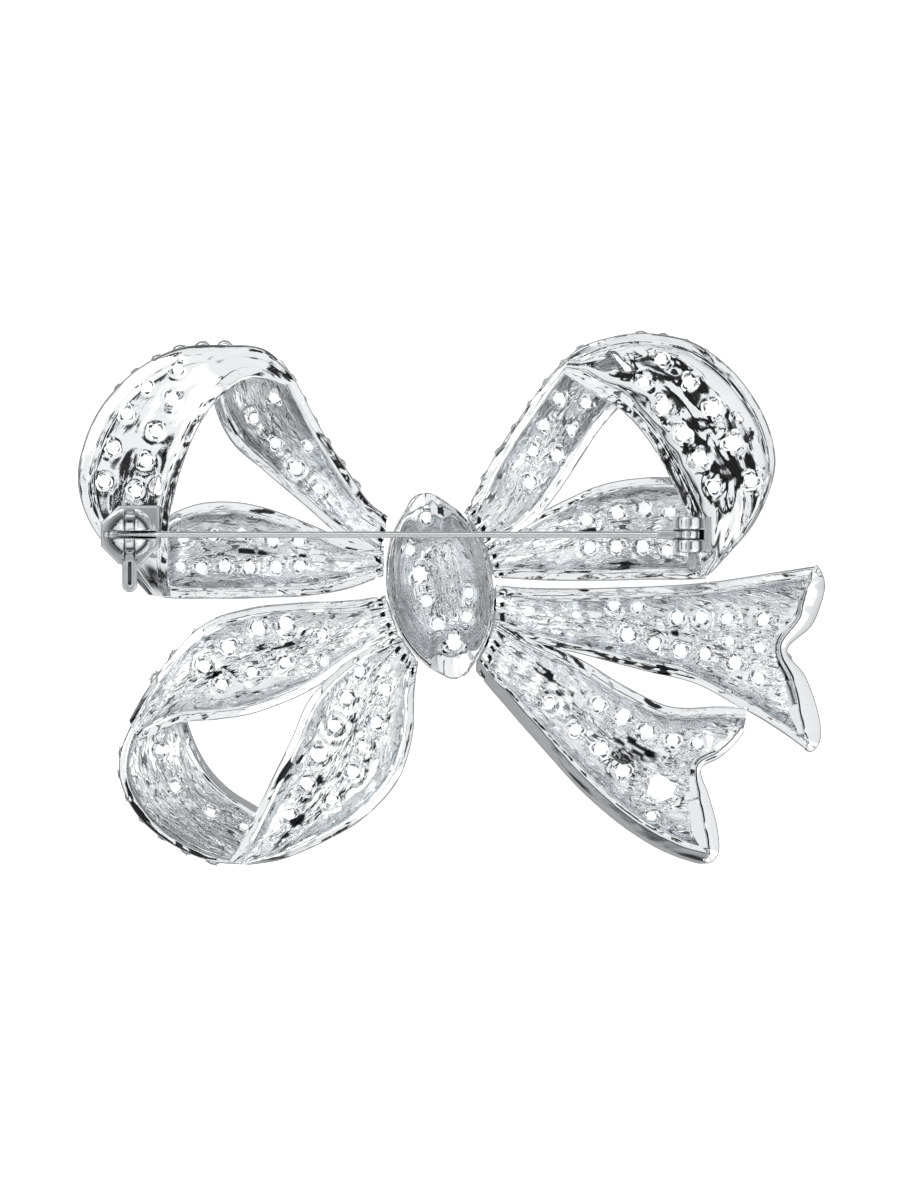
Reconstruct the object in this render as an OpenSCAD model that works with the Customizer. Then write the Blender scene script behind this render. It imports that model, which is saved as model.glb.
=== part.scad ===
// A bow brooch, lying face down. X runs along its width, Y along its height, and Z runs from the
// stones on its front up to the pin on its back.

/* [Bow] */
// Width of the bow
bow_w = 70; // [62:1:80]
// Height of the bow
bow_h = 50.3; // [46:0.1:58]
// Rise of the highest ribbon rim above the lowest ribbon floor
ribbon_rise = 6.5; // [5.5:0.1:8]
// Thickness of a cast ribbon's floor
floor_t = 0.9; // [0.7:0.05:1.1]
// Width of the raised rim along each edge of a ribbon
rim_w = 0.85; // [0.6:0.05:1.1]
// Gap left between two castings
seam = 0.1; // [0.05:0.01:0.2]

/* [Stones] */
// Width of the seat that a stone covers around its hole
seat_w = 0.22; // [0.15:0.01:0.3]
// Diameter of a stone set without a hole
edge_stone_d = 1.35; // [1.1:0.05:1.5]
// Clear space between a stone's girdle and the metal
stone_gap = 0.24; // [0.2:0.01:0.3]
// Height of a stone's crown above its girdle
crown_h = 0.4; // [0.3:0.05:0.55]
// Depth of a stone's pavilion below its girdle
pavilion_h = 0.4; // [0.3:0.05:0.5]
// Depth of a flat-backed stone that has no hole behind it
flat_back_h = 0.08; // [0.05:0.01:0.12]

/* [Pin and catch] */
// Diameter of the pin wire
pin_d = 0.62; // [0.5:0.01:0.7]
// Height of the pin's axis above the highest ribbon rim
pin_rise = 2.6; // [2.5:0.1:3.2]
// Diameter of the ball of the catch
ball_d = 5; // [4.8:0.1:5.2]
// Gap between the two halves of the ball
ball_slot = 1.04; // [1:0.02:1.2]
// Length of the thumb lever from the ball's centre
lever_len = 5.4; // [5:0.1:6]
// Running clearance round each turning part
run_gap = 0.05; // [0.03:0.01:0.08]
// Diameter of the hinge rivet
rivet_d = 0.8; // [0.7:0.05:0.9]
// Thickness of one hinge ear
ear_t = 1.2; // [0.8:0.05:1.4]
// Thickness of the plates under the catch and the hinge
plate_t = 0.7; // [0.5:0.05:0.8]

/* [Hidden] */

METAL = "silver";
STONE = "lightcyan";
HOLE_SIDES = 6;
STONE_SIDES = 8;
ROUND = 48;

// The outlines are drawn on a grid. GRID_W squares are the bow's width and GRID_H its height,
// counted from the middle of the bow. Heights are shares of the ribbon rise, in hundredths.
GRID_W = 745;
GRID_H = 535;

// Columns of a ribbon table: its two edges and the depth of the channel between them
AX = 0;
AY = 1;
AZ = 2;
BX = 3;
BY = 4;
BZ = 5;
BELLY = 6;

UPPER_LEFT_LEAF = [
    [-62, 84, 50, -72, 42, 50, 8],
    [-81, 99, 50, -110, 64, 48, 22],
    [-101, 128, 52, -150, 98, 45, 42],
    [-120, 157, 54, -188, 130, 42, 46],
    [-137, 187, 60, -219, 158, 40, 45],
    [-152, 216, 68, -236, 194, 42, 42],
    [-168, 240, 76, -238, 230, 52, 26]];
UPPER_LEFT_BAND = [
    [-153, 220, 72, -166, 214, 74, 2],
    [-184, 250, 74, -192, 221, 86, 10],
    [-226, 255, 74, -214, 216, 96, 16],
    [-274, 251, 76, -238, 192, 100, 20],
    [-319, 226, 78, -254, 166, 100, 22],
    [-351, 190, 80, -266, 136, 100, 22],
    [-368, 150, 82, -274, 108, 100, 20],
    [-372, 116, 84, -279, 82, 100, 18],
    [-363, 83, 86, -281, 56, 98, 14],
    [-343, 52, 78, -281, 28, 84, 10],
    [-302, 5, 48, -279, 3, 50, 3]];
UPPER_LEFT_BACK_LEAF = [
    [-66, 24, 50, -66, 54, 50, 8],
    [-102, 11, 48, -106, 62, 48, 24],
    [-140, 4, 46, -139, 76, 46, 40],
    [-180, 2, 44, -176, 90, 44, 42],
    [-214, 1, 44, -210, 98, 44, 43],
    [-250, 1, 44, -244, 98, 44, 42],
    [-275, 1, 46, -272, 90, 46, 36],
    [-287, 2, 48, -284, 82, 48, 3]];

UPPER_RIGHT_LEAF = [
    [12, 84, 50, 28, 42, 50, 8],
    [26, 109, 50, 78, 72, 48, 22],
    [47, 149, 52, 106, 104, 45, 42],
    [73, 188, 54, 129, 138, 42, 46],
    [99, 224, 60, 150, 170, 40, 45],
    [127, 251, 68, 172, 194, 42, 40],
    [152, 261, 76, 192, 204, 52, 24]];
UPPER_RIGHT_BAND = [
    [120, 244, 72, 113, 226, 74, 2],
    [150, 260, 74, 142, 206, 86, 12],
    [192, 267, 74, 174, 186, 96, 20],
    [240, 259, 76, 197, 160, 100, 22],
    [278, 234, 78, 215, 130, 100, 22],
    [306, 199, 80, 230, 100, 100, 20],
    [322, 162, 82, 240, 76, 100, 18],
    [324, 124, 84, 245, 56, 98, 16],
    [304, 76, 76, 250, 36, 86, 10],
    [262, 27, 50, 250, 22, 52, 3]];
UPPER_RIGHT_BACK_LEAF = [
    [26, 24, 50, 26, 54, 50, 8],
    [62, 21, 48, 66, 74, 48, 24],
    [102, 19, 46, 106, 96, 46, 40],
    [152, 19, 44, 153, 116, 44, 44],
    [196, 20, 44, 198, 123, 44, 44],
    [234, 20, 46, 236, 120, 46, 36],
    [256, 21, 48, 254, 98, 48, 3]];

LOWER_LEFT_TOP_LEAF = [
    [-57, 6, 50, -47, -34, 50, 8],
    [-100, 0, 52, -98, -62, 54, 20],
    [-150, -2, 62, -142, -92, 68, 30],
    [-202, -8, 74, -194, -113, 80, 36],
    [-243, -22, 82, -234, -120, 88, 36],
    [-277, -54, 86, -268, -123, 92, 30],
    [-303, -89, 86, -299, -136, 92, 18],
    [-321, -120, 80, -310, -141, 84, 4]];
LOWER_LEFT_SIDE_LEAF = [
    [-56, -32, 50, -30, -52, 50, 8],
    [-102, -60, 56, -35, -90, 54, 20],
    [-139, -96, 72, -37, -136, 66, 32],
    [-158, -137, 84, -52, -181, 76, 38],
    [-176, -174, 90, -86, -218, 82, 38],
    [-191, -206, 90, -126, -242, 82, 30],
    [-208, -240, 86, -166, -259, 78, 16],
    [-222, -261, 76, -200, -265, 72, 3]];
LOWER_LEFT_BAND = [
    [-311, -110, 78, -264, -116, 46, 6],
    [-328, -146, 74, -255, -143, 16, 7],
    [-330, -180, 72, -241, -168, 4, 6],
    [-313, -215, 72, -221, -189, 2, 6],
    [-282, -242, 72, -196, -205, 4, 6],
    [-241, -261, 72, -171, -219, 16, 7],
    [-200, -265, 74, -156, -238, 44, 6]];

UPPER_TAIL = [
    [28, 18, 52, 30, -22, 52, 14],
    [70, 13, 50, 80, -42, 50, 30],
    [120, 12, 48, 133, -55, 48, 42],
    [170, 13, 46, 190, -70, 46, 46],
    [220, 15, 46, 245, -84, 46, 46],
    [265, 19, 48, 285, -105, 48, 46],
    [312, 26, 52, 322, -126, 52, 44],
    [376, 36, 60, 372, -162, 60, 42]];
LOWER_TAIL = [
    [28, -12, 52, 26, -72, 52, 14],
    [78, -34, 50, 58, -110, 50, 30],
    [133, -60, 48, 95, -152, 48, 42],
    [176, -86, 46, 135, -195, 46, 46],
    [221, -106, 46, 180, -232, 46, 46],
    [270, -106, 48, 225, -257, 48, 44],
    [304, -108, 54, 272, -270, 56, 42]];

// The notched ends of the tails, from the upper corner round the notch to the lower corner, and
// the heights that their walls run between
UPPER_TAIL_END = [[374, 60], [374, 22], [370, -4], [360, -26], [336, -50], [354, -76],
                  [366, -108], [370, -144], [366, -200]];
LOWER_TAIL_END = [[302, -60], [296, -119], [288, -138], [270, -156], [250, -169], [258, -196],
                  [266, -226], [269, -256], [262, -300]];
END_LOW = 6;
END_HIGH = 58;
// How far the walls stand out from the cut ends, in millimetres
END_PROUD = 0.12;

// Columns of a hole table: place, half width, and half of its extra length along the ribbon
HX = 0;
HY = 1;
HR = 2;
HL = 3;

UPPER_LEFT_LEAF_HOLES = [
    [-196, 182, 5, 6], [-175, 157, 6, 1], [-154, 132, 8, 2], [-176, 202, 6, 1],
    [-142, 154, 5, 1], [-132, 112, 5, 2]];
UPPER_LEFT_BAND_HOLES = [
    [-272, 231, 6, 1], [-278, 201, 8, 1], [-303, 213, 6, 1], [-323, 186, 7, 1],
    [-294, 169, 7, 1], [-337, 152, 7, 1], [-304, 139, 7, 1], [-346, 119, 7, 1],
    [-314, 109, 7, 1]];
// Holes that no stone covers
UPPER_LEFT_BAND_GAPS = [[-292, 114, 3, 5]];
UPPER_LEFT_BACK_LEAF_HOLES = [
    [-270, 34, 5, 0], [-249, 33, 6, 1], [-226, 34, 7, 1], [-201, 33, 7, 1], [-174, 33, 7, 1],
    [-151, 35, 6, 1], [-267, 62, 5, 1], [-178, 60, 7, 2], [-152, 58, 6, 2], [-209, 65, 5, 2],
    [-238, 64, 5, 2]];

UPPER_RIGHT_LEAF_HOLES = [
    [110, 202, 6, 1], [136, 197, 6, 1], [95, 175, 6, 1], [84, 149, 6, 1], [107, 145, 7, 1],
    [80, 118, 7, 1], [122, 171, 5, 1]];
UPPER_RIGHT_BAND_HOLES = [
    [194, 218, 6, 2], [213, 193, 9, 1], [233, 166, 9, 1],
    [250, 141, 9, 1], [211, 241, 6, 1], [239, 218, 7, 1], [263, 191, 9, 1], [283, 157, 9, 1],
    [301, 119, 8, 1], [264, 113, 7, 1]];
UPPER_RIGHT_BAND_GAPS = [[164, 236, 8, 8], [168, 206, 3, 0], [289, 182, 3, 1]];
UPPER_RIGHT_BACK_LEAF_HOLES = [
    [137, 80, 7, 1], [168, 87, 7, 2], [195, 91, 7, 1], [140, 53, 7, 1], [167, 54, 7, 1],
    [193, 54, 7, 1], [217, 50, 6, 1], [220, 88, 5, 1]];

LOWER_LEFT_TOP_LEAF_HOLES = [
    [-192, -28, 8, 2], [-164, -24, 8, 2], [-222, -47, 8, 2], [-246, -66, 7, 1], [-228, -84, 6, 2],
    [-165, -62, 6, 2], [-198, -72, 6, 2], [-128, -34, 5, 2], [-126, -62, 4, 1]];
LOWER_LEFT_SIDE_LEAF_HOLES = [
    [-90, -72, 6, 1], [-66, -89, 7, 1], [-103, -98, 7, 1], [-74, -122, 7, 1],
    [-115, -126, 7, 1], [-132, -155, 8, 2], [-97, -172, 7, 1], [-143, -183, 7, 2],
    [-88, -146, 5, 1], [-118, -200, 5, 2], [-160, -215, 5, 2]];
LOWER_LEFT_BAND_HOLES = [
    [-291, -150, 5, 2], [-275, -187, 6, 2], [-240, -213, 5, 2], [-206, -227, 4, 2]];

UPPER_TAIL_HOLES = [
    [178, -35, 8, 2], [205, -43, 7, 1], [231, -50, 7, 1], [256, -54, 7, 1], [286, -63, 8, 2],
    [309, -78, 7, 1], [164, -6, 6, 1], [188, -7, 6, 1], [228, -18, 7, 1], [252, -18, 7, 1],
    [278, -19, 7, 1], [314, -20, 7, 2], [280, -41, 5, 1], [335, -60, 5, 1], [310, -48, 6, 1]];
LOWER_TAIL_HOLES = [
    [100, -104, 6, 1], [149, -105, 7, 1], [173, -117, 8, 1], [197, -132, 8, 1],
    [223, -141, 7, 2], [126, -130, 7, 1], [151, -149, 8, 1], [173, -171, 8, 1],
    [212, -188, 13, 2], [248, -144, 6, 1], [202, -216, 5, 1]];

KNOT_HOLES = [
    [-38, 50, 6, 3], [-29, 25, 8, 3], [-23, -2, 7, 2], [-10, -24, 6, 2], [18, 7, 6, 4],
    [18, -18, 6, 3], [4, -44, 9, 2], [-24, 83, 6, 3]];

// Share of a stone's width that its table takes
TABLE = 0.6;
// Share of the half width at which the stones of a flank sit
FLANK = 0.87;

// What lies in front of the lowest ribbon floor: the floor, the gap and the stone's crown
front_t = floor_t + stone_gap + crown_h;
rim_top = front_t + ribbon_rise;
pin_z = rim_top + pin_rise;

// Shares of the ribbon's half width at which its section bends, and the depth there
BENDS = [[0, 1], [0.42, 0.95], [0.8, 0.6], [1, 0]];
SECTION = [-1, -0.8, -0.42, 0.42, 0.8, 1];
// The most of a ribbon's half width that a rim may take
RIM_SHARE = 0.7;

// How many rings are put between two rows of a ribbon table
RINGS = 2;
HALVINGS = 12;
FAR = 30;

// Place on the grid, in millimetres
function grid(x, y) = [x * bow_w / GRID_W, y * bow_h / GRID_H];
// Height of a share of the ribbon rise, in millimetres
function height(share) = front_t + share * ribbon_rise / 100;

function held(i, n) = min(max(i, 0), n - 1);
// Smooth curve through the rows of a table
function row_at(t, s) =
    let (i = held(floor(s), len(t) - 1), f = s - i,
         p = t[held(i - 1, len(t))], q = t[i], r = t[i + 1], w = t[held(i + 2, len(t))])
    q + 0.5 * f * ((r - p) + f * ((2 * p - 5 * q + 4 * r - w) + f * (3 * (q - r) + w - p)));
function edge_a(row) = concat(grid(row[AX], row[AY]), height(row[AZ]));
function edge_b(row) = concat(grid(row[BX], row[BY]), height(row[BZ]));
function belly(row) = row[BELLY] * ribbon_rise / 100;
function flat(p) = [p.x, p.y];

// Point at share v across a ribbon, from -1 at edge A to 1 at edge B, dropped by a depth
function across(row, v, drop) =
    let (a = edge_a(row), b = edge_b(row)) a + (b - a) * (v + 1) / 2 - [0, 0, drop];
function inner_share(row) =
    1 - min(RIM_SHARE, 2 * rim_w / norm(flat(edge_b(row) - edge_a(row))));
// One ring of a ribbon: along the front from edge A to edge B and back along the channel
function ring(row) =
    let (k = inner_share(row), d = belly(row), n = len(SECTION))
    concat(
        [for (v = SECTION)
            let (depth = lookup(abs(v), BENDS), wall = abs(v) < 1 ? floor_t : floor_t * 0.5)
            across(row, v, d * depth + wall)],
        [for (i = [n - 1 : -1 : 0])
            let (v = SECTION[i]) across(row, v * k, d * lookup(abs(v), BENDS))]);

function reverse(list) = [for (i = [len(list) - 1 : -1 : 0]) list[i]];
// True where edge B lies to the left of edge A, seen along the ribbon
function turns_left(t) =
    let (mid = row_at(t, len(t) / 2), next = row_at(t, len(t) / 2 + 0.5),
         run = flat(edge_a(next) + edge_b(next) - edge_a(mid) - edge_b(mid)))
    cross(run, flat(edge_b(mid) - edge_a(mid))) > 0;

// A cast ribbon: one closed skin through the rings of its table
module ribbon(t) {
    steps = (len(t) - 1) * RINGS;
    rings = [for (i = [0 : steps]) ring(row_at(t, i / RINGS))];
    m = len(rings[0]);
    sides = [for (i = [0 : steps - 1], j = [0 : m - 1])
        let (a = i * m + j, b = i * m + (j + 1) % m)
        each [[a, b, a + m], [b, b + m, a + m]]];
    first = [for (j = [m - 1 : -1 : 0]) j];
    last = [for (j = [0 : m - 1]) steps * m + j];
    faces = concat(sides, [first, last]);
    polyhedron([for (r = rings) each r], turns_left(t) ? [for (f = faces) reverse(f)] : faces,
        convexity = 6);
}

// Which side of the line across a ribbon, at place s, a point lies on
function side_of(t, s, p) =
    let (r = row_at(t, s), a = flat(edge_a(r)), b = flat(edge_b(r))) cross(b - a, p - a);
// How far across the ribbon a point lies, from 0 at edge A to 1 at edge B
function share_across(t, s, p) =
    let (r = row_at(t, s), a = flat(edge_a(r)), c = flat(edge_b(r)) - a) (p - a) * c / (c * c);
// Place along a ribbon of a point: the rows that it lies between, then halving
function halve(t, p, lo, hi, n) =
    let (mid = (lo + hi) / 2)
    n == 0 ? mid
    : side_of(t, lo, p) * side_of(t, mid, p) > 0 ? halve(t, p, mid, hi, n - 1)
    : halve(t, p, lo, mid, n - 1);
function place(t, p) =
    [for (i = [0 : len(t) - 2])
        if (side_of(t, i, p) * side_of(t, i + 1, p) <= 0)
            let (s = halve(t, p, i, i + 1, HALVINGS))
            if (abs(share_across(t, s, p) - 0.5) < 0.6) s][0];
// Height of a ribbon's front face under a point
function front_z(t, p) =
    let (s = place(t, p), r = row_at(t, s), f = share_across(t, s, p), a = edge_a(r), b = edge_b(r))
    a.z + (b.z - a.z) * f - belly(r) * lookup(abs(2 * f - 1), BENDS) - floor_t;
// Direction straight out of a ribbon's front face
function front_normal(t, p) =
    let (e = 0.2,
         gx = (front_z(t, p + [e, 0]) - front_z(t, p - [e, 0])) / (2 * e),
         gy = (front_z(t, p + [0, e]) - front_z(t, p - [0, e])) / (2 * e),
         n = [gx, gy, -1])
    n / norm(n);
// Direction of a ribbon at a point, in degrees
function run_angle(t, p) =
    let (s = place(t, p), a = row_at(t, s - 0.1), b = row_at(t, s + 0.1),
         d = flat(edge_a(b) + edge_b(b) - edge_a(a) - edge_b(a)))
    atan2(d.y, d.x);

// A hole cast through a ribbon, longer one way
module hole(x, y, r, l, angle) {
    u = bow_w / GRID_W;
    translate(grid(x, y)) rotate(angle) hull() {
        scale([1 + l / r, 1, 1]) translate([0, 0, -1])
            cylinder(r = r * u, h = FAR, $fn = HOLE_SIDES);
    }
}
module ribbon_holes(t, holes) {
    for (h = holes) hole(h[HX], h[HY], h[HR], h[HL], run_angle(t, grid(h[HX], h[HY])));
}
module pierced_ribbon(t, holes) {
    difference() {
        ribbon(t);
        ribbon_holes(t, holes);
    }
}

// A round stone with a table and eight sides. Its table faces +Z and its girdle is at z = 0.
module stone(r, depth) {
    hull() {
        rotate_extrude($fn = STONE_SIDES)
            polygon([[0, -depth], [r, 0], [r * TABLE, crown_h], [0, crown_h]]);
    }
}
// A stone set on a face at point p, its table looking along n
module set_stone(p, n, r, depth) {
    translate(p + n * stone_gap) rotate([0, acos(n.z), atan2(n.y, n.x)]) stone(r, depth);
}
module ribbon_stones(t, holes) {
    for (h = holes) {
        p = grid(h[HX], h[HY]);
        r = h[HR] * bow_w / GRID_W + seat_w;
        set_stone([p.x, p.y, front_z(t, p)], front_normal(t, p), r, pavilion_h);
    }
}
// A row of stones along a flank, spaced evenly between two places on the ribbon
module flank_stones(t, v, from, to, count) {
    for (i = [0 : count - 1]) {
        p = flat(across(row_at(t, from + (to - from) * i / (count - 1)), v, 0));
        set_stone([p.x, p.y, front_z(t, p)], front_normal(t, p), edge_stone_d / 2, flat_back_h);
    }
}

// The knot: an oval cup, open at the back, with a peak at its top and its foot
KNOT_X = -10;
KNOT_Y = 14;
KNOT_HALF_W = 54;
KNOT_HALF_H = 88;
KNOT_LEAN = 9.5;
KNOT_STEPS = 28;
// Columns of the knot tables: share of its outline, and height above its lowest front face or,
// inside, above its floor
KNOT_OUTSIDE = [[0.1, 0], [0.5, 3], [0.84, 20], [1, 48], [1, 70], [0.9, 84]];
KNOT_INSIDE = [[0.72, 70], [0.66, 44], [0.56, 18], [0.34, 6], [0.1, 4]];

function knot_peak(a) = 1 + 0.1 * pow(abs(sin(a)), 14);
function knot_point(a, share, grow) =
    let (rx = KNOT_HALF_W * bow_w / GRID_W * share + grow,
         ry = KNOT_HALF_H * bow_h / GRID_H * share + grow)
    [rx * cos(a), ry * sin(a) * knot_peak(a)];
function knot_rings(levels, base, grow) =
    [for (l = levels) [for (i = [0 : KNOT_STEPS - 1])
        concat(knot_point(i * 360 / KNOT_STEPS, l[0], grow), base + l[1] * ribbon_rise / 100)]];
// Height of the knot's front face under a point, and the direction straight out of it
function knot_front(p) =
    let (q = p - grid(KNOT_X, KNOT_Y),
         x = (q.x * cos(KNOT_LEAN) + q.y * sin(KNOT_LEAN)) / knot_point(0, 1, 0).x,
         y = (q.y * cos(KNOT_LEAN) - q.x * sin(KNOT_LEAN)) / knot_point(90, 1, 0).y)
    front_t - floor_t + lookup(norm([x, y]), KNOT_OUTSIDE) * ribbon_rise / 100;
function knot_normal(p) =
    let (e = 0.3,
         n = [knot_front(p + [e, 0]) - knot_front(p - [e, 0]),
              knot_front(p + [0, e]) - knot_front(p - [0, e]), -2 * e])
    n / norm(n);
module skin(rings) {
    m = len(rings[0]);
    n = len(rings);
    sides = [for (i = [0 : n - 2], j = [0 : m - 1])
        let (a = i * m + j, b = i * m + (j + 1) % m)
        each [[a, a + m, b], [b, a + m, b + m]]];
    first = [for (j = [0 : m - 1]) j];
    last = [for (j = [m - 1 : -1 : 0]) (n - 1) * m + j];
    polyhedron([for (r = rings) each r], concat(sides, [first, last]), convexity = 6);
}
module at_knot() {
    translate(grid(KNOT_X, KNOT_Y)) rotate(KNOT_LEAN) children();
}
// The room that the knot takes, with the seam round it, open upwards
module knot_room() {
    base = front_t - floor_t;
    levels = concat([[0.5, -50]], KNOT_OUTSIDE, [[0.9, 300]]);
    at_knot() skin(knot_rings(levels, base, seam * 1.2));
}

// The notched end of a tail, cut to an outline that runs from its upper corner to its lower one
module cut_end(outline) {
    top = outline[0].y;
    foot = outline[len(outline) - 1].y;
    linear_extrude(height = FAR, center = true)
        polygon([for (p = concat(outline, [[GRID_W, foot], [GRID_W, top]])) grid(p.x, p.y)]);
}
// The raised wall along a tail's notched end
module end_wall(outline) {
    for (i = [1 : len(outline) - 3]) {
        hull() {
            for (p = [outline[i], outline[i + 1]]) {
                translate(concat(grid(p.x, p.y) - [rim_w / 2 - END_PROUD, 0], height(END_LOW)))
                    cylinder(d = rim_w, h = height(END_HIGH) - height(END_LOW), $fn = HOLE_SIDES);
            }
        }
    }
}
module tail(t, holes, outline) {
    union() {
        difference() {
            pierced_ribbon(t, holes);
            cut_end(outline);
        }
        end_wall(outline);
    }
}

module upper_left_loop() {
    color(METAL) difference() {
        union() {
            pierced_ribbon(UPPER_LEFT_LEAF, UPPER_LEFT_LEAF_HOLES);
            pierced_ribbon(UPPER_LEFT_BACK_LEAF, UPPER_LEFT_BACK_LEAF_HOLES);
            pierced_ribbon(UPPER_LEFT_BAND, concat(UPPER_LEFT_BAND_HOLES, UPPER_LEFT_BAND_GAPS));
        }
        knot_room();
    }
}

module upper_right_loop() {
    color(METAL) difference() {
        union() {
            pierced_ribbon(UPPER_RIGHT_LEAF, UPPER_RIGHT_LEAF_HOLES);
            pierced_ribbon(UPPER_RIGHT_BACK_LEAF, UPPER_RIGHT_BACK_LEAF_HOLES);
            pierced_ribbon(UPPER_RIGHT_BAND, concat(UPPER_RIGHT_BAND_HOLES, UPPER_RIGHT_BAND_GAPS));
        }
        knot_room();
    }
}

module lower_left_loop() {
    color(METAL) difference() {
        union() {
            pierced_ribbon(LOWER_LEFT_TOP_LEAF, LOWER_LEFT_TOP_LEAF_HOLES);
            pierced_ribbon(LOWER_LEFT_SIDE_LEAF, LOWER_LEFT_SIDE_LEAF_HOLES);
            pierced_ribbon(LOWER_LEFT_BAND, LOWER_LEFT_BAND_HOLES);
        }
        knot_room();
    }
}

module tails() {
    color(METAL) difference() {
        union() {
            tail(UPPER_TAIL, UPPER_TAIL_HOLES, UPPER_TAIL_END);
            tail(LOWER_TAIL, LOWER_TAIL_HOLES, LOWER_TAIL_END);
        }
        knot_room();
    }
}

module knot() {
    color(METAL) difference() {
        at_knot() skin(concat(knot_rings(KNOT_OUTSIDE, front_t - floor_t, 0),
            knot_rings(KNOT_INSIDE, front_t, 0)));
        for (h = KNOT_HOLES) hole(h[HX], h[HY], h[HR], h[HL], 90 + KNOT_LEAN);
    }
}

module stones_upper_left() {
    color(STONE) {
        ribbon_stones(UPPER_LEFT_LEAF, UPPER_LEFT_LEAF_HOLES);
        ribbon_stones(UPPER_LEFT_BACK_LEAF, UPPER_LEFT_BACK_LEAF_HOLES);
        ribbon_stones(UPPER_LEFT_BAND, UPPER_LEFT_BAND_HOLES);
        flank_stones(UPPER_LEFT_LEAF, -FLANK, 1.6, 5.2, 6);
        flank_stones(UPPER_LEFT_BAND, -FLANK, 2, 4.4, 6);
    }
}
module stones_upper_right() {
    color(STONE) {
        ribbon_stones(UPPER_RIGHT_LEAF, UPPER_RIGHT_LEAF_HOLES);
        ribbon_stones(UPPER_RIGHT_BACK_LEAF, UPPER_RIGHT_BACK_LEAF_HOLES);
        ribbon_stones(UPPER_RIGHT_BAND, UPPER_RIGHT_BAND_HOLES);
        flank_stones(UPPER_RIGHT_LEAF, -FLANK, 1.4, 5.1, 7);
        flank_stones(UPPER_RIGHT_BAND, -FLANK, 2, 3.4, 4);
    }
}
module stones_lower_left() {
    color(STONE) {
        ribbon_stones(LOWER_LEFT_TOP_LEAF, LOWER_LEFT_TOP_LEAF_HOLES);
        ribbon_stones(LOWER_LEFT_SIDE_LEAF, LOWER_LEFT_SIDE_LEAF_HOLES);
        ribbon_stones(LOWER_LEFT_BAND, LOWER_LEFT_BAND_HOLES);
        flank_stones(LOWER_LEFT_TOP_LEAF, -FLANK, 3.6, 5.6, 4);
        flank_stones(LOWER_LEFT_BAND, -FLANK, 1.2, 5, 7);
    }
}
module stones_tails() {
    color(STONE) {
        ribbon_stones(UPPER_TAIL, UPPER_TAIL_HOLES);
        ribbon_stones(LOWER_TAIL, LOWER_TAIL_HOLES);
        flank_stones(UPPER_TAIL, -FLANK, 5.2, 6.1, 3);
    }
}
module stones_knot() {
    color(STONE) {
        for (h = KNOT_HOLES) {
            p = grid(h[HX], h[HY]);
            r = h[HR] * bow_w / GRID_W + seat_w;
            set_stone([p.x, p.y, knot_front(p)], knot_normal(p), r, pavilion_h);
        }
    }
}

// Pin, hinge and catch. The pin lies along X on the axis of the ball.
PIN_Y = 65;
CATCH_X = -319;
HINGE_X = 238;
pin_y = grid(0, PIN_Y).y;
catch_x = grid(CATCH_X, 0).x;
hinge_x = grid(HINGE_X, 0).x;
ball_r = ball_d / 2;
rotor_r = ball_r - 0.6;
hub_r = pin_d / 2 + 0.55;
slot_w = pin_d + 2 * run_gap;
rotor_t = ball_slot - 2 * run_gap;
plate_z = rim_top + seam;

module at_catch() {
    translate([catch_x, pin_y, pin_z]) children();
}
module along_x(r, length) {
    rotate([0, 90, 0]) cylinder(r = r, h = length, center = true, $fn = ROUND);
}
// The slot that the pin drops into, from the axis up and out
module pin_slot(length) {
    along_x(slot_w / 2, length);
    translate([0, 0, ball_r]) cube([length, slot_w, ball_d], center = true);
}
module catch_housing() {
    half_w = ball_d / 2 + 0.25;
    near = half_w - 1.65;
    color(METAL) at_catch() difference() {
        union() {
            sphere(r = ball_r, $fn = ROUND);
            // The plate keeps one square corner and has the other three cut off
            translate([0, 0, plate_z - pin_z]) linear_extrude(plate_t) polygon([
                [half_w, half_w], [-near, half_w], [-half_w, near], [-half_w, -near],
                [-near, -half_w], [near, -half_w], [half_w, -near]]);
        }
        along_x(rotor_r + run_gap, ball_slot);
        translate([-ball_slot / 2, -ball_d, -1]) cube([ball_slot, 2 * ball_d, ball_d]);
        along_x(hub_r + run_gap, ball_d - 1);
        pin_slot(ball_d + 1);
    }
}
module catch_lever() {
    tab_w = 1.4;
    tab_t = 1;
    groove = 0.3;
    root = ball_r + run_gap;
    color(METAL) at_catch() difference() {
        union() {
            along_x(rotor_r, rotor_t);
            along_x(hub_r, ball_d - 1 - 2 * run_gap);
            translate([-rotor_t / 2, -root - 0.2, -tab_t / 2]) cube([rotor_t, root, tab_t]);
            translate([-tab_w / 2, -lever_len + tab_w / 2, -tab_t / 2])
                cube([tab_w, lever_len - tab_w / 2 - root, tab_t]);
            translate([0, -lever_len + tab_w / 2, -tab_t / 2])
                cylinder(d = tab_w, h = tab_t, $fn = ROUND);
        }
        pin_slot(ball_d);
        // The groove along the tab
        translate([-groove / 2, -lever_len + tab_w / 2, tab_t / 2 - groove])
            cube([groove, lever_len - tab_w / 2 - root, tab_t]);
    }
}

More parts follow.
